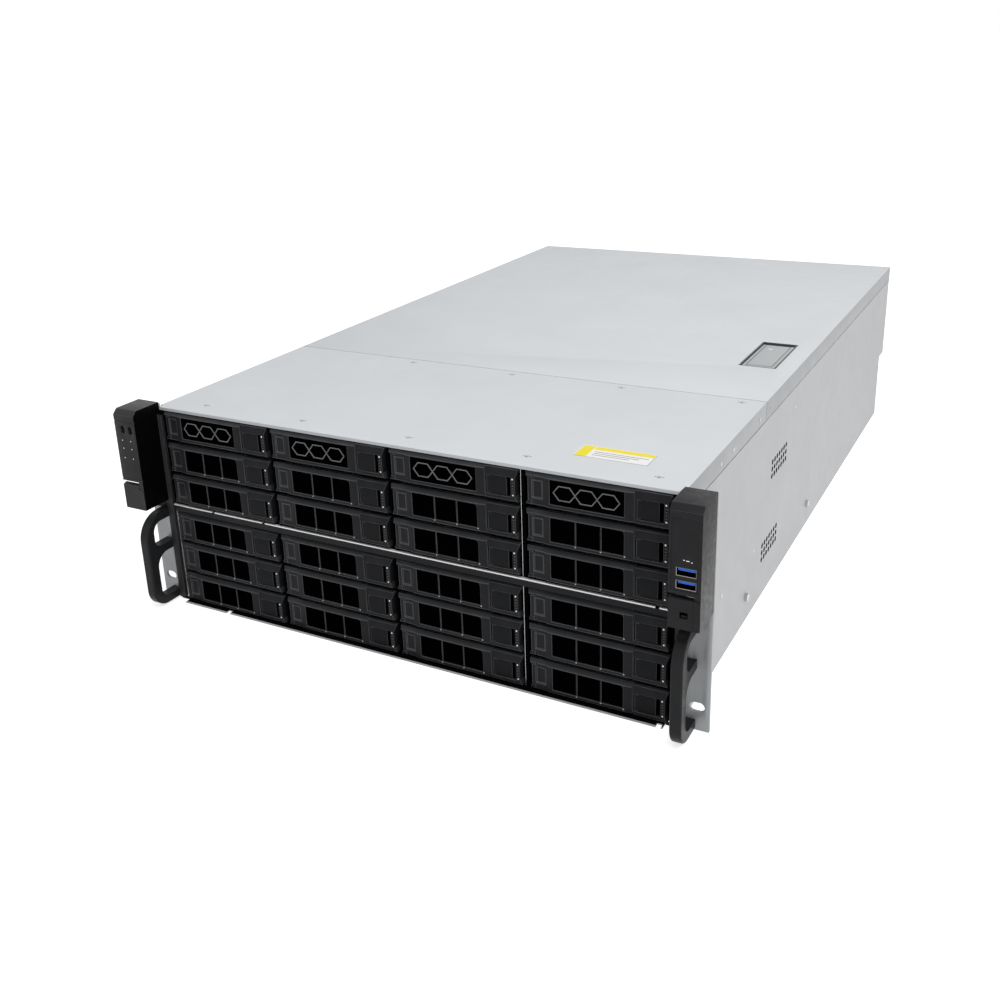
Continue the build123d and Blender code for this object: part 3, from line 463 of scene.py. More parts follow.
def dress_nodes():
    """Gives every carried-over node its material."""
    dress("base_tray", paint_base)
    dress("rear_panel", paint_side)
    dress("front_cover", paint_top, 0.25)
    dress("rear_cover", paint_top, 0.25)
    # The pan round the latch is dark metal: painted shade in the recess round the lever
    dress("latch_pan", dark_metal)
    dress("latch_lever", latch_paint, 0.4)
    dress("drive_cage", cage_front_metal)
    dress("shelf_trim", carrier_plastic, 0.3)
    dress("backplane", board_mask)
    dress("fan_wall", fan_plastic)
    dress("mainboard", board_mask)
    dress("processor_coolers", cooler_metal)
    dress("memory_modules", memory_mask)
    dress("mounting_flanges", flange_metal, 0.3)
    dress("left_ear", left_ear_lit_plastic, 0.4, ear_edge_highlight)
    dress("right_ear", ear_plastic, 0.4, ear_edge_highlight)
    dress("left_ear_latch", left_ear_lit_plastic, 0.3)
    dress("right_ear_latch", ear_plastic, 0.3)
    dress("front_handles", handle_paint)
    dress("power_button", panel_plastic, 0.3)
    dress("reset_button", panel_plastic, 0.3)
    dress("fasteners", screw_metal)
    for index in range(3):
        dress(f"fan_rotor_{index + 1}", fan_plastic)
    for index in range(2):
        dress(f"power_supply_{index + 1}", supply_metal, 0.3)


def paint_where(node, material, test):
    """Gives some of a node's faces another material; test sees a face's middle in millimetres."""
    mesh = nodes[node].data
    mesh.materials.append(material)
    slot = len(mesh.materials) - 1
    for face in mesh.polygons:
        if test(nodes[node].matrix_world @ face.center / MM, face.normal):
            face.material_index = slot


def darken_vents():
    """The walls of the side vents' holes lie in shadow."""
    half_width = box_mm("front_cover")[1].x
    vent_front, vent_rear = 190.0, 275.0
    vent_low, vent_high = 30.0, 120.0
    vent_edge = 1.3
    across = 0.5

    def hole_wall(middle, normal):
        inside = vent_front < middle.y < vent_rear and vent_low < middle.z < vent_high
        in_wall = half_width - vent_edge < abs(middle.x) < half_width
        return inside and in_wall and abs(normal.x) < across

    paint_where("base_tray", shade_and_panel_black, hole_wall)


def colour_sockets():
    """Blue tongues in plated shells, with painted shade inside them and on their rims above and at their
    right.
    """
    low, high = box_mm("usb_ports")
    pitch = 8.8
    tongue_half = 5.7
    tongue_drop = 1.7
    tongue_reach = 1.05
    rim_depth = 0.3
    rim_line = 0.1
    upper_rim = 0.3
    right_rim = 0.35

    def nearest(z, drop):
        return min(abs(z - (high.z - drop - pitch * step)) for step in range(2))

    def tongue(middle, normal):
        beside = abs(middle.x - (low.x + high.x) / 2)
        return beside < tongue_half and nearest(middle.z, tongue_drop) < tongue_reach

    def inside(middle, normal):
        return middle.y > low.y + rim_depth

    def rim(middle, normal):
        return not inside(middle, normal)

    def shaded_rim(middle, normal):
        shaded = nearest(middle.z, rim_line) < upper_rim or middle.x > high.x - right_rim
        return normal.y < -facing and middle.y < low.y + rim_line and shaded

    # The sockets' insides are black: painted shade
    paint_where("usb_ports", shade_and_panel_black, inside)
    paint_where("usb_ports", rim_metal, rim)
    paint_where("usb_ports", dark_metal, shaded_rim)
    paint_where("usb_ports", socket_blue, tongue)


def darken_seams():
    """Gaps round the covers and the ear's inner side lie in deep shadow, and the skirts in half shade."""
    high = box_mm("front_cover")[1]
    cover_edge = 1.0
    skirt_sheet = 0.1
    wall_height = 140.0
    ear_strip = -223.5
    ear_strip_front, ear_strip_low = -4.0, 84.0
    ear_side, ear_side_low = -221.5, 90.0

    def split_edge(middle, normal):
        return abs(normal.y) > facing and abs(middle.y - high.y) < cover_edge

    def wall_top(middle, normal):
        return normal.z > facing and middle.z > wall_height

    def inner_side(middle, normal):
        strip = middle.x > ear_strip and middle.y > ear_strip_front and middle.z > ear_strip_low
        return strip or (normal.x > facing and middle.x > ear_side and middle.z > ear_side_low)

    # The covers' side faces take the skirts' darker copy of the paint: painted half shade
    def skirt(middle, normal):
        return abs(normal.x) > facing and abs(middle.x) > high.x - skirt_sheet

    for cover in ("front_cover", "rear_cover"):
        paint_where(cover, skirt_half_shade_paint, skirt)
        paint_where(cover, shade_and_panel_black, split_edge)
    paint_where("base_tray", shade_and_panel_black, wall_top)
    paint_where("left_ear", panel_plastic, inner_side)


def dress_rear():
    """Plated network ports and black grips at the rear."""
    port_low, port_front = 10.7, 680.0
    grip_front = 706.2

    def port(middle, normal):
        return middle.y > port_front and middle.z > port_low

    def grip(middle, normal):
        return middle.y > grip_front

    paint_where("mainboard", port_metal, port)
    for index in range(2):
        paint_where(f"power_supply_{index + 1}", handle_paint, grip)


def mask_step(tree, value, limit, above):
    """One where a value lies on one side of a limit."""
    step = tree.nodes.new("ShaderNodeMath")
    step.operation = "GREATER_THAN" if above else "LESS_THAN"
    step.inputs[1].default_value = limit * MM
    tree.links.new(value, step.inputs[0])
    return step.outputs["Value"]


def mask_join(tree, operation, *masks):
    """The largest (MAXIMUM) or the smallest (MINIMUM) of some masks."""
    result = masks[0]
    for mask in masks[1:]:
        join = tree.nodes.new("ShaderNodeMath")
        join.operation = operation
        tree.links.new(result, join.inputs[0])
        tree.links.new(mask, join.inputs[1])
        result = join.outputs["Value"]
    return result


def blacken(material, bare, is_metal=False):
    """Paints shade: turns a material black and dull wherever the mask is nought."""
    deep_black = (0.003, 0.003, 0.003, 1.0)
    tree = material.node_tree
    principled = tree.nodes["Principled BSDF"]
    mix = tree.nodes.new("ShaderNodeMix")
    mix.data_type = "RGBA"
    colours = [socket for socket in mix.inputs if socket.type == "RGBA"]
    results = [socket for socket in mix.outputs if socket.type == "RGBA"]
    colours[0].default_value = deep_black
    tree.links.new(bare, mix.inputs["Factor"])
    tree.links.new(principled.inputs["Base Color"].links[0].from_socket, colours[1])
    tree.links.new(results[0], principled.inputs["Base Color"])
    shine = principled.inputs["Specular IOR Level"]
    level = tree.nodes.new("ShaderNodeMath")
    level.operation = "MULTIPLY"
    level.inputs[1].default_value = shine.default_value
    tree.links.new(bare, level.inputs[0])
    tree.links.new(level.outputs[0], shine)
    if is_metal:
        tree.links.new(bare, principled.inputs["Metallic"])


def place_parts(tree):
    """The object's own coordinates, one by one."""
    place = tree.nodes.new("ShaderNodeTexCoord")
    parts = tree.nodes.new("ShaderNodeSeparateXYZ")
    tree.links.new(place.outputs["Object"], parts.inputs["Vector"])
    return parts.outputs["X"], parts.outputs["Y"], parts.outputs["Z"]


# In front of this depth the cage and the trays are painted black, as shade in the gaps between the carriers
black_front = 12.0


def blacken_cage_front():
    """The cage's front edges are painted black as shade between the carriers, apart from one bare edge and
    the lower left one.
    """
    line_left, line_right = 105.1, 105.7
    foot_right, foot_top = -210.0, 87.0
    tree = cage_front_metal.node_tree
    x, y, z = place_parts(tree)
    behind = mask_step(tree, y, black_front, True)
    line = mask_join(tree, "MINIMUM", mask_step(tree, x, line_left, True),
                     mask_step(tree, x, line_right, False))
    foot = mask_join(tree, "MINIMUM", mask_step(tree, x, foot_right, False),
                     mask_step(tree, z, foot_top, False))
    blacken(cage_front_metal, mask_join(tree, "MAXIMUM", behind, line, foot), is_metal=True)


def blacken_tray_front():
    """The trays' front ends are painted black as shade between the carriers."""
    tree = tray_metal.node_tree
    blacken(tray_metal, mask_step(tree, place_parts(tree)[1], black_front, True), is_metal=True)


def blacken_lip():
    """The upper side of the base's front lip is painted dark as shade under the carriers' faces, and its edge
    is bare.
    """
    lip_back, rim_depth = 3.0, 1.1
    sheet_top, lip_roof = 0.97, 40.0
    tree = paint_base.node_tree
    y, z = place_parts(tree)[1:]
    rim = mask_step(tree, y, box_mm("base_tray")[0].y + rim_depth, False)
    behind = mask_step(tree, y, lip_back, True)
    below = mask_step(tree, z, sheet_top, False)
    above = mask_step(tree, z, lip_roof, True)
    blacken(paint_base, mask_join(tree, "MAXIMUM", behind, rim, below, above))


# Pieces laid on the chassis

def lay(name, mesh, material, body="chassis", place=(0.0, 0.0, 0.0)):
    """A piece that rides on a body."""
    piece = new_object(name, mesh, material)
    piece.location = place
    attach(piece, body)
    return piece


def build_shelf_lip():
    """The bright folded lip of the shelf, broken at its notches."""
    low, high = box_mm("drive_cage")
    notches = (-173.0, -121.7, 204.6)
    notch_half, end_gap = 1.4, 0.7
    lip_reach, lip_low, lip_high = -3.4, 87.25, 88.35
    edges = [low.x + end_gap]
    for notch in notches:
        edges += [notch - notch_half, notch + notch_half]
    edges.append(high.x - end_gap)
    parts = [slab("lip", left, right, lip_reach, low.y, lip_low, lip_high)
             for left, right in zip(edges[::2], edges[1::2])]
    lay("shelf_lip", finished(merged("shelf_lip", parts), 0.12), lip_metal)


def screw_mark(x, y, z):
    """Three small dark dots in a row, painted shade of small dimples, the middle one on the rivet's head."""
    radius, rise, head = 0.55, 0.04, 0.26
    dimples = ((-2.7, 0.5, 0.0), (0.0, -0.6, head), (2.7, 0.5, 0.0))
    return [prism("dot", circle(x + dx, y + dy, radius, 10), z + lift, z + lift + rise, along_z)
            for dx, dy, lift in dimples]


def build_marks():
    """Dark dots, painted shade of dimples, round the rivets along the front edge and along the split of the
    covers.
    """
    top = box_mm("front_cover")[1].z
    for name, count, first, pitch, y in (("front_marks", 5, -183.4, 95.3, 15.0),
                                         ("split_marks", 4, -92.9, 98.8, 182.4)):
        parts = [dot for i in range(count) for dot in screw_mark(first + pitch * i, y, top)]
        lay(name, merged(name, parts), dark_metal)


def build_label():
    """A plain sticker: a white field with ruled bars, a coloured band and a coloured square."""
    left, right, front, back = 130.0, 184.0, 30.0, 51.0
    margin, space, line = 0.6, 0.8, 0.45
    square_right = left + 9.0
    band_low = back - 6.0
    bar_left, bar_right, bar_step, bar_width = square_right + 3.0, right - 3.0, 6.0, 0.9
    bar_places = (40.6, 37.6, 34.6)
    bottom = box_mm("front_cover")[1].z
    above = bottom + 0.1
    top = above + 0.03
    field = slab("field", left, right, front, back, bottom, above)
    lay("label_field", field, label_white)
    colour = [slab("band", square_right + space, right - space, band_low, back - margin, above, top),
              slab("square", left + margin, square_right, front + margin, back - margin, above, top)]
    lay("label_colour", merged("label_colour", colour), label_yellow)
    ink = [slab("bar", bar_left, bar_right - bar_step * i, y, y + bar_width, above, top)
           for i, y in enumerate(bar_places)]
    ink += [slab("edge", right - line, right, front, back, above, top),
            slab("edge", left, right, front, front + line, above, top)]
    lay("label_ink", merged("label_ink", ink), label_ink)


def build_latch_plate():
    """A border and a small round pad on the cover's latch; the pad, in the covers' lighter paint, is a
    painted highlight.
    """
    low, high = box_mm("latch_lever")
    inset, line, rise = 2.6, 0.7, 0.12
    pad_shift, pad_inset, pad_radius, pad_rise = 4.0, 14.0, 2.2, 0.3
    x0, x1, y0, y1 = low.x + inset, high.x - inset, low.y + inset, high.y - inset
    outer = [(x0, y0), (x1, y0), (x1, y1), (x0, y1)]
    inner = [(x0 + line, y0 + line), (x1 - line, y0 + line), (x1 - line, y1 - line), (x0 + line, y1 - line)]
    border = ring_mesh("latch_border", outer, inner, high.z, high.z + rise, along_z)
    lay("latch_border", border, dark_metal, "latch_lever")
    # The pad is a painted highlight
    outline = circle((low.x + high.x) / 2 - pad_shift, y1 - pad_inset, pad_radius, 20)
    pad = prism("latch_pad", outline, high.z, high.z + pad_rise, along_z)
    lay("latch_pad", finished(pad, 0.1), paint_top, "latch_lever")


# Ears

def flap_plate(name, outline, bevel, material, body, edge=None):
    """A thin plate in front of an ear."""
    thickness, forward = 0.7, 0.75
    front = box_mm("left_ear")[0].y - forward
    plate = finished(prism("plate", outline, front, front + thickness, along_y), bevel, edge)
    lay(name, plate, material, body)


def build_ear_plates():
    """The front plates of both ear flaps, the strip beside the right one, which stays, and a black slab of
    painted shade in its slot.
    """
    inner, outer = 220.7, 241.0
    bottom, top, web_top = 91.2, 112.2, 108.3
    left_web, right_web, seam = 225.1, 236.9, 0.1
    round_off, half_round = 1.8, 0.5
    left = [(-outer, bottom), (-inner, bottom), (-inner, web_top), (-left_web, web_top), (-left_web, top),
            (-outer, top)]
    right = [(inner, bottom), (right_web, bottom), (right_web, top), (inner, top)]
    strip = [(right_web + seam, bottom), (outer, bottom), (outer, top - round_off),
             (outer - half_round, top - half_round), (outer - round_off, top), (right_web + seam, top)]
    flap_plate("left_flap_plate", left, 0.3, left_ear_lit_plastic, "left_ear_latch", ear_edge_highlight)
    flap_plate("right_flap_plate", right, 0.15, ear_plastic, "right_ear_latch")
    flap_plate("right_web_plate", strip, 0.15, ear_plastic, "chassis")
    slot_front, slot_back = -29.3, -29.0
    # A black slab in the slot: painted shade
    slot = slab("slot", 228.4, 233.6, slot_front, slot_back, 99.2, 103.4)
    lay("flap_slot", slot, shade_and_panel_black, "right_ear_latch")
    proud = 0.1
    tab = slab("tab", 229.4, 233.0, slot_front - proud, slot_back - proud, 100.0, 101.6)
    lay("flap_tab", finished(tab, 0.1), button_plastic, "right_ear_latch")


def build_ear_feet():
    """The ears' feet, the dark corners of the base's lip, and dark blocks of painted shade in the gaps behind
    the ears' upper ends.
    """
    for side, sign, foot_outer in (("left", -1, 240.5), ("right", 1, 232.0)):
        # The corner blocks are painted shade: dark slabs in the gaps behind the ears' upper ends
        blocks = (("ear_foot", (222.95, foot_outer), (-1.0, -0.05), (82.0, 95.0), 0.2),
                  ("lip_corner", (211.9, 220.4), (-3.0, -0.2), (0.05, 1.1), 0.2),
                  ("corner_shade_block", (219.4, 220.6), (0.1, 2.7), (158.0, 170.5), 0.1))
        for name, reach, depth, height, bevel in blocks:
            x0, x1 = sorted(sign * x for x in reach)
            piece = finished(slab(name, x0, x1, *depth, *height), bevel)
            lay(f"{side}_{name}", piece, ear_panel_plastic)


def build_ear_lights():
    """Six light pipes on the left ear and a small plain mark above the sockets on the right one."""
    front = box_mm("left_ear")[0].y
    radius, proud, root = 0.5, 0.1, 0.3
    places = [(x, z) for z in (149.9, 143.1, 135.1) for x in (-235.1, -226.3)]
    parts = [prism("light", circle(x, z, radius, 12), front - proud, front + root, along_y)
             for x, z in places]
    lay("ear_lights", finished(merged("ear_lights", parts), 0.08), light_white)
    recess = front + 0.8
    mark_rise, mark_root, mark_height = 0.06, 0.1, 0.6
    marks = [slab("mark", x, x + wide, recess - mark_rise, recess + mark_root, z, z + mark_height)
             for x, wide, z in ((229.4, 1.0, 138.2), (231.2, 2.2, 138.0), (234.4, 1.0, 137.4))]
    lay("socket_mark", merged("socket_mark", marks), lip_metal)


# Carriers

def same_x(x, z):
    """For panels without a slanted end."""
    return x


def everywhere(x, z):
    """For panels without an opening."""
    return True


def end_at(ends, z):
    """Where a slanted end lies along x at some height."""
    for (z0, x0), (z1, x1) in zip(ends, ends[1:]):
        if z0 <= z <= z1:
            return x0 + (x1 - x0) * (z - z0) / (z1 - z0)
    return ends[-1][1]


def window_corner_mesh():
    """The filling of the window's rounded upper right corner."""
    steps = 6
    depth = 0.15
    x, z = window_right - corner_radius, window_half - corner_radius
    outline = [(window_right, window_half)]
    for step in range(steps + 1):
        turn = math.pi / 2 * (1 - step / steps)
        outline.append((x + corner_radius * math.cos(turn), z + corner_radius * math.sin(turn)))
    return finished(prism("corner", outline, face_plane + depth, lever_back, along_y), 0.1, carrier_edge_highlight)


def carrier_lever_mesh(top_row):
    """The lever's front: end pad, facet, window frame and bevelled top band."""
    pad_left, pad_right, pad_half, pad_edge = 6.7, 14.6, 6.6, 0.7
    pad_depth, bar_depth, gap = 0.8, 0.25, 0.3
    facet_end, frame_end = 17.6, 76.8
    low_face, seam_face = face_plane + 0.9, face_plane + 0.55
    knuckle_left, knuckle_edge, knuckle_face = pivot_x - knuckle, 0.8, pivot_y - 0.6
    knuckle_right, lug_limit = pivot_x + knuckle + gap, lug_inner - gap
    clearance = 0.05
    xs = [knuckle_left, knuckle_left + knuckle_edge, pad_left, pad_left + pad_edge, knuckle_right]
    xs += [pad_right - pad_edge, pad_right, facet_end, window_left]
    for bar in window_bars:
        xs += [bar, bar + window_bar]
    xs += [window_right - corner_radius, window_right, frame_end, lever_right]
    zs = [-face_half, -face_half + low_bevel, -window_half, -lug_limit, -pad_half, -pad_half + pad_edge]
    zs += [pad_half - pad_edge, pad_half, lug_limit, window_half, top_band, face_half]

    def filled(x, z):
        if x < knuckle_right and abs(z) > lug_limit:
            return False
        if window_left < x < window_right and abs(z) < window_half:
            return not top_row and any(bar < x < bar + window_bar for bar in window_bars)
        return True

    def level(x):
        if x <= pad_right:
            return low_face
        if x < facet_end:
            return low_face + (face_plane - low_face) * (x - pad_right) / (facet_end - pad_right)
        if x <= frame_end:
            return face_plane
        return face_plane + (seam_face - face_plane) * (x - frame_end) / (lever_right - frame_end)

    def front(x, z):
        depth = level(x)
        if x < knuckle_left + near:
            depth = knuckle_face
        if pad_left + near < x < pad_right - near and abs(z) < pad_half - near:
            depth += pad_depth
        if z > top_band:
            depth = face_plane + top_bevel
        if z < -face_half + near:
            depth += low_bevel
        on_bar = any(bar - near <= x <= bar + window_bar + near for bar in window_bars)
        if on_bar and abs(z) < window_half - near:
            depth += bar_depth
        return depth

    def back(x, z):
        if x < pivot_x:
            return pivot_y + math.sqrt(max(0.0, knuckle ** 2 - (x - pivot_x) ** 2)) + clearance
        return lever_back

    parts = [finished(panel("lever", xs, zs, filled, front, back, same_x), 0.3, carrier_edge_highlight, carrier_lit_band)]
    if not top_row:
        parts.append(window_corner_mesh())
    return merged("carrier_lever", parts)


def window_sheet(name, margin, depth):
    """A dark sheet across the window: the top row's closed panel, or a sheet of painted shade that ends the
    view into a carrier.
    """
    return slab(name, window_left - margin, window_right + margin, face_plane + depth,
                face_plane + sheet_back, -window_half - window_cover, window_half + window_cover)


def carrier_hexagons_mesh():
    """Three linked hexagon outlines standing on the panel."""
    wide, high, line, pitch = 7.9, 5.0, 0.75, 15.7
    middle, stretch = 46.4, 1.15
    depth, stagger, root = 0.35, 0.02, 1.0
    parts = []
    for index in (-1, 0, 1):
        x = middle + index * pitch
        loops = []
        for grow in (line / 2, -line / 2):
            w, h = wide + grow * stretch, high + grow
            loops.append([(x - w, 0), (x - w / 2, h), (x + w / 2, h),
                          (x + w, 0), (x + w / 2, -h), (x - w / 2, -h)])
        level = face_plane + depth + stagger * index
        parts.append(ring_mesh("hexagon", *loops, level, face_plane + root, along_y))
    return finished(merged("hexagons", parts), 0.12)


def carrier_block_mesh():
    """The fixed block at the right with its button pocket and bevelled top."""
    pocket_left = block_left + 0.45
    band_low, band_high, band_depth = 6.3, 11.2, 1.5
    xs = [block_left, pocket_left, pocket_right, block_right]
    zs = [-face_half, -face_half + low_bevel, pocket_low, pocket_high, band_low, band_high, face_half]

    def filled(x, z):
        return not (pocket_left < x < pocket_right and pocket_low < z < pocket_high)

    def front(x, z):
        if z < -face_half + near:
            return face_plane + low_bevel
        if z <= band_low:
            return face_plane
        return face_plane + (band_depth if z <= band_high else top_bevel)

    def back(x, z):
        return plate_back

    def x_at(x, z):
        return end_at(right_end, z) if x > pocket_right + near else x

    return finished(panel("block", xs, zs, filled, front, back, x_at), 0.28, carrier_edge_highlight, carrier_lit_band)


def carrier_frame_mesh():
    """The plate round the window, behind the lever, and the two lugs that hold the lever's pin."""
    plate_left, plate_right = 1.4, block_left + 0.4
    opening = window_half - 1.2
    sides = [(plate_left, window_left, -face_half, face_half),
             (window_left, window_right, opening, face_half),
             (window_left, window_right, -face_half, -opening),
             (window_right, plate_right, -face_half, face_half)]
    plates = [slab("plate", x0, x1, plate_front, plate_back, z0, z1) for x0, x1, z0, z1 in sides]
    lug_flat, lug_end = pivot_x + 1.2, pivot_x + knuckle
    lug_left = end_at(left_end, -face_half)
    lug_face, lug_slope = face_plane + 0.9, pivot_y - 0.4
    overlap = 0.1

    def front(x, z):
        depth = lug_slope if x > lug_flat + near else lug_face
        if z > top_band:
            depth = max(depth, face_plane + top_bevel)
        if z < -face_half + near:
            depth += low_bevel
        return depth

    def back(x, z):
        return plate_front + overlap

    def x_at(x, z):
        return end_at(left_end, z) if x < lug_left + near else x

    lugs = []
    for zs in ([-face_half, -face_half + low_bevel, -lug_inner], [lug_inner, top_band, face_half]):
        lug = panel("lug", [lug_left, lug_flat, lug_end], zs, everywhere, front, back, x_at)
        lugs.append(finished(lug, 0.25, carrier_edge_highlight, carrier_lit_band))
    return merged("carrier_frame", lugs + [finished(merged("plates", plates), 0.2, carrier_edge_highlight)])


def carrier_pocket_mesh():
    """The floor of the button's pocket, black as painted shade in the recess."""
    left, right, depth, overlap = block_left + 0.3, pocket_right + 0.2, 2.2, 0.1
    return slab("pocket_floor", left, right, face_plane + depth, plate_back,
                pocket_low - overlap, pocket_high + overlap)


def carrier_button_mesh():
    """The release button, which is flat near its left end and falls away to the right."""
    left, right, low, high = 81.3, 96.9, -8.2, 5.4
    rim_x, rim_z, rim_drop = 0.6, 0.5, 0.35
    # The face slopes back from fall on, and the line at flat keeps the shading before it even
    flat, fall = 2.6, 3.2
    front_depth, back_depth = 0.35, 2.1
    xs = [left, left + rim_x, left + flat, left + fall, right]
    zs = [low, low + rim_z, high - rim_z, high]

    def front(x, z):
        rim = z < low + near or z > high - near or x < left + near or x > right - near
        return face_plane + front_depth + (rim_drop if rim else 0.0)

    def back(x, z):
        return face_plane + back_depth

    return finished(panel("button", xs, zs, everywhere, front, back, same_x), 0.2, carrier_edge_highlight)


def carrier_strip_mesh():
    """The ribbed light strip beside the button."""
    left, right, proud, root = 101.2, 102.5, 0.15, 0.4
    count, lowest, pitch, high = 5, -5.2, 2.2, 1.0
    parts = [slab("rib", left, right, face_plane - proud, face_plane + root, z, z + high)
             for z in (lowest + index * pitch for index in range(count))]
    return finished(merged("strip", parts), 0.12)


def carrier_lights_mesh():
    """Two small light pipes, above and below the ribbed strip."""
    radius, proud, root = 0.62, 0.18, 0.8
    parts = [prism("light", circle(x, z, radius, 12), face_plane - proud, face_plane + root, along_y)
             for x, z in ((101.6, 4.6), (101.9, -7.0))]
    return finished(merged("lights", parts), 0.1)


def carrier_tray_mesh(lift):
    """The steel tray: two rails and a front wall with an opening."""
    bottom = lift - 11.5
    top = bottom + 21.0
    rail, rail_back, border = 1.5, 160.9, 3.4
    opening_left, opening_right = 20.0, 73.0
    front, back = plate_back + 0.35, plate_back + 1.5
    left, right = tray_outer, bay_pitch - tray_outer
    sheets = [(left, left + rail, plate_back, rail_back, bottom, top),
              (right - rail, right, plate_back, rail_back, bottom, top),
              (left, right, front, back, bottom, bottom + border),
              (left, right, front, back, top - border, top),
              (left, opening_left, front, back, bottom, top),
              (opening_right, right, front, back, bottom, top)]
    return finished(merged("tray", [slab("sheet", *sheet) for sheet in sheets]), 0.15)


def carrier_disk_mesh(lift):
    """A disk drive: cast body, pressed lid with its spindle boss and screws."""
    side_gap = 2.75
    left, right = side_gap, bay_pitch - side_gap
    low, high = lift - disk_half, lift + disk_half
    body_front, body_back, body_drop = 9.0, 156.0, 1.2
    lid_front, lid_back, tip_back = 12.0, 120.0, 132.0
    lid_inset, tip_inset, screw_inset = 3.0, 16.0, 7.0
    middle, spindle, boss_radius, hub_radius, screw_radius = 53.5, 62.0, 27.0, 8.0, 2.4
    lid = [(left + lid_inset, lid_front), (right - lid_inset, lid_front), (right - lid_inset, lid_back),
           (right - tip_inset, tip_back), (left + tip_inset, tip_back), (left + lid_inset, lid_back)]
    # An outline each, and how far below the disk's top it starts and ends
    layers = [(lid, 1.3, 0.35), (circle(middle, spindle, boss_radius, 40), 0.4, 0.1),
              (circle(middle, spindle, hub_radius, 24), 0.15, 0.0)]
    layers += [(circle(x, y, screw_radius, 12), 0.4, 0.05)
               for x in (left + screw_inset, right - screw_inset) for y in (18.0, 66.0, 114.0)]
    parts = [slab("body", left, right, body_front, body_back, low, high - body_drop)]
    parts += [prism("layer", outline, high - start, high - end, along_z) for outline, start, end in layers]
    return finished(merged("disk", parts), 0.25)


def lever_dots_mesh():
    """Small bright dots at the feet of the window's bars and beside the window: painted glints."""
    radius, drop, proud, root = 0.55, 0.5, 0.12, 0.3
    places = [bar + window_bar / 2 for bar in window_bars] + [window_right + 0.6]
    parts = [prism("dot", circle(x, -window_half - drop, radius, 10), face_plane - proud, face_plane + root,
                   along_y) for x in places]
    return merged("lever_dots", parts)


def build_carriers():
    """Every carrier from shared meshes; the top row's levers and buttons ride on bodies of their own."""
    levers = {top_row: carrier_lever_mesh(top_row) for top_row in (True, False)}
    trays = {lift: carrier_tray_mesh(lift) for lift in (upper_lift, lower_lift)}
    disks = {lift: carrier_disk_mesh(lift) for lift in (upper_lift, lower_lift)}
    block, frame_plate, button = carrier_block_mesh(), carrier_frame_mesh(), carrier_button_mesh()
    pocket, strip, lights = carrier_pocket_mesh(), carrier_strip_mesh(), carrier_lights_mesh()
    dots, hexagons = lever_dots_mesh(), carrier_hexagons_mesh()
    # Behind each open window a black sheet of painted shade
    shade_sheet = window_sheet("shade_sheet", 0.6, 1.1)
    closed_panel = window_sheet("panel", 0.3, 0.9)
    for row in range(rows):
        top_row = row == 0
        lift = upper_lift if row < rows // 2 else lower_lift
        for column in range(columns):
            body = f"drive_carrier_r{row + 1}_c{column + 1}"
            lever_body = f"carrier_lever_c{column + 1}" if top_row else body
            button_body = f"carrier_button_c{column + 1}" if top_row else body
            low = box_mm(body)[0]
            place = Vector((low.x - tray_outer, 0.0, low.z + disk_half - lift)) * MM
            kit = [("block", block, carrier_plastic, body), ("frame", frame_plate, carrier_plastic, body),
                   ("lever", levers[top_row], carrier_plastic, lever_body),
                   ("button", button, button_plastic, button_body), ("pocket", pocket, shade_and_panel_black, body),
                   ("strip", strip, strip_plastic, body), ("lights", lights, light_white, body),
                   ("tray", trays[lift], tray_metal, body), ("shade_sheet", shade_sheet, shade_and_panel_black, body),
                   ("disk", disks[lift], disk_metal, body)]
            if top_row:
                kit.append(("panel", closed_panel, shade_and_panel_black, lever_body))
                kit.append(("hexagons", hexagons, hexagon_plastic, lever_body))
            else:
                kit.append(("dots", dots, glint_plastic, lever_body))
            for part, mesh, material, part_body in kit:
                name = f"carrier_r{row + 1}_c{column + 1}_{part}"
                piece = lay(name, mesh, material, part_body, place)
                if part == "block" or top_row and part in ("lever", "button"):
                    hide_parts(part_body)


# Camera, light and floor: the eye in millimetres, the angles in degrees, the lens as for a 36 mm sensor

eye = (423.945, -619.616, 446.451)
azimuth = 28.7826
elevation = 19.6451
roll = 2.0283
lens = 40.136
shift_x = 0.00907
shift_y = -0.07094


def place_camera():
    """The camera from the photograph's place."""
    turn = math.radians(azimuth)
    rise = math.radians(elevation)
    forward = Vector((-math.sin(turn) * math.cos(rise), math.cos(turn) * math.cos(rise), -math.sin(rise)))
    right = Vector((math.cos(turn), math.sin(turn), 0.0))
    up = right.cross(forward)
    tilt = math.radians(roll)
    right, up = right * math.cos(tilt) - up * math.sin(tilt), up * math.cos(tilt) + right * math.sin(tilt)
    camera = add_object("camera", bpy.data.cameras.new("camera"))
    turn_matrix = Matrix((right, up, -forward)).transposed().to_4x4()
    camera.matrix_world = Matrix.Translation(Vector(eye) * MM) @ turn_matrix
    camera.data.sensor_width = 36.0
    camera.data.lens = lens
    camera.data.shift_x = shift_x
    camera.data.shift_y = shift_y
    camera.data.clip_start = 0.01
    camera.data.clip_end = 100.0
    bpy.context.scene.camera = camera


def area_light(name, place, target, size, power):
    """A square light turned towards a target, all in metres and watts."""
    lamp = bpy.data.lights.new(name, "AREA")
    lamp.shape = "SQUARE"
    lamp.size = size
    lamp.energy = power
    piece = add_object(name, lamp)
    piece.location = place
    piece.rotation_euler = (Vector(target) - Vector(place)).to_track_quat("-Z", "Y").to_euler()
    piece.visible_glossy = False


def seen_rays(tree):
    """One where a ray comes from the camera, a gloss or a transmission, and nought elsewhere."""
    path = tree.nodes.new("ShaderNodeLightPath")
    kinds = ("Is Camera Ray", "Is Glossy Ray", "Is Transmission Ray")
    return mask_join(tree, "MAXIMUM", *[path.outputs[kind] for kind in kinds])


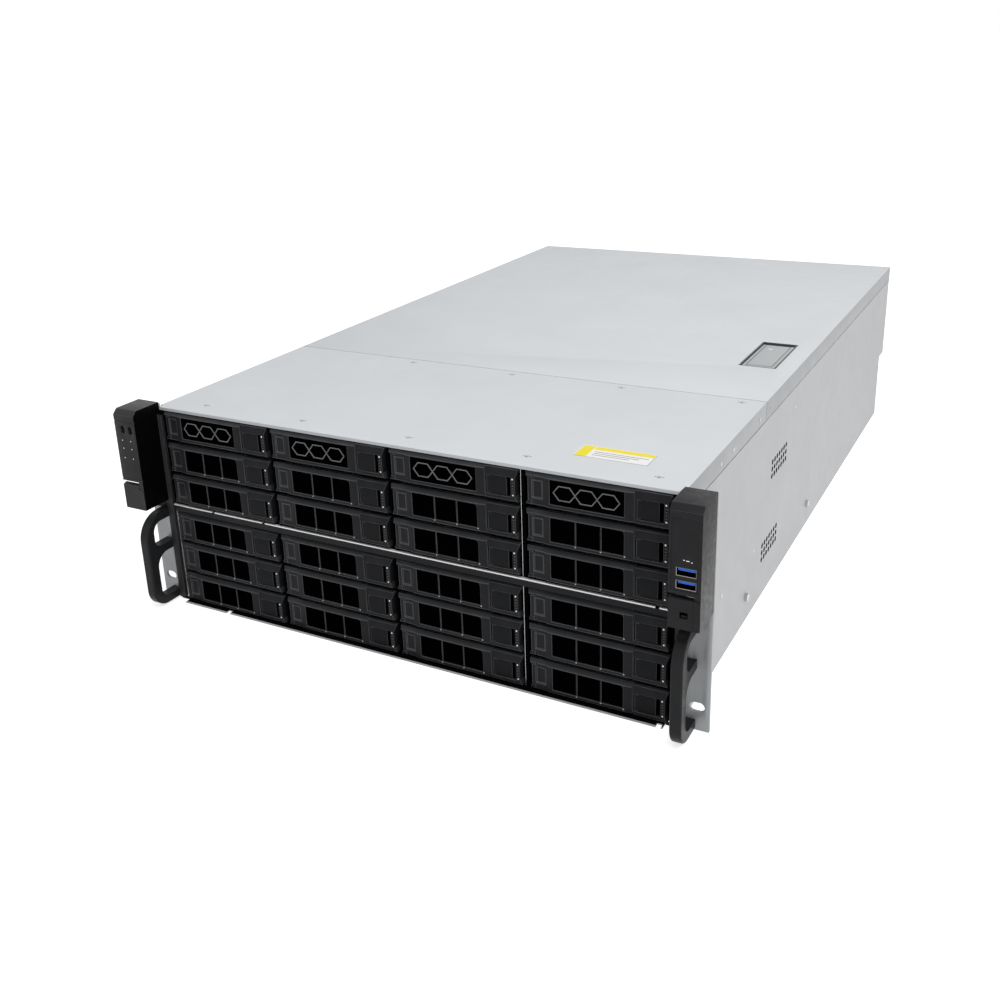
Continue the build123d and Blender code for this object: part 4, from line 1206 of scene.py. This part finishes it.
def backdrop(tree, strength):
    """A white world shader of some strength."""
    shade = tree.nodes.new("ShaderNodeBackground")
    set_inputs(shade, {"Strength": strength, "Color": (1.0, 1.0, 1.0, 1.0)})
    return shade.outputs["Background"]


sky_level = 0.4
floor_level = 0.8
floor_lift = 0.7


def light_world():
    """White where it is seen, and dimmer where it lights."""
    world = bpy.data.worlds.new("studio")
    bpy.context.scene.world = world
    world.use_nodes = True
    tree = world.node_tree
    tree.nodes.clear()
    output = tree.nodes.new("ShaderNodeOutputWorld")
    mix = tree.nodes.new("ShaderNodeMixShader")
    tree.links.new(seen_rays(tree), mix.inputs["Fac"])
    tree.links.new(backdrop(tree, sky_level), mix.inputs[1])
    tree.links.new(backdrop(tree, 1.0), mix.inputs[2])
    tree.links.new(mix.outputs["Shader"], output.inputs["Surface"])


def lay_floor():
    """A white floor that takes shadows, with a little light of its own where it is seen."""
    half, below = 30000.0, 0.02
    mesh = mesh_from("floor", [(-half, -half, 0), (half, -half, 0), (half, half, 0), (-half, half, 0)],
                     [(0, 1, 2, 3)])
    material = bpy.data.materials.new("floor_white")
    material.use_nodes = True
    tree = material.node_tree
    tree.nodes.clear()
    output = tree.nodes.new("ShaderNodeOutputMaterial")
    add = tree.nodes.new("ShaderNodeAddShader")
    diffuse = tree.nodes.new("ShaderNodeBsdfDiffuse")
    set_inputs(diffuse, {"Color": (floor_level, floor_level, floor_level, 1.0)})
    shine = tree.nodes.new("ShaderNodeEmission")
    scale = tree.nodes.new("ShaderNodeMath")
    scale.operation = "MULTIPLY"
    scale.inputs[1].default_value = floor_lift
    tree.links.new(seen_rays(tree), scale.inputs[0])
    tree.links.new(scale.outputs["Value"], shine.inputs["Strength"])
    tree.links.new(diffuse.outputs["BSDF"], add.inputs[0])
    tree.links.new(shine.outputs["Emission"], add.inputs[1])
    tree.links.new(add.outputs["Shader"], output.inputs["Surface"])
    floor = new_object("floor", mesh, material)
    floor.location.z = -below * MM


def light_scene():
    """A large light above the chassis, a weaker one at its right, and the world."""
    light_world()
    area_light("key", (0.75, -0.05, 2.1), (0.0, 0.25, 0.1), 2.0, 32.0)
    area_light("side", (2.6, -0.2, 1.2), (0.2, 0.3, 0.1), 1.6, 6.0)


place_camera()
light_scene()
lay_floor()
dress_nodes()
darken_vents()
colour_sockets()
darken_seams()
dress_rear()
blacken_cage_front()
blacken_lip()
blacken_tray_front()
build_shelf_lip()
build_ear_feet()
build_marks()
build_label()
build_latch_plate()
build_ear_plates()
build_ear_lights()
build_carriers()
bpy.context.scene.view_settings.view_transform = "Standard"
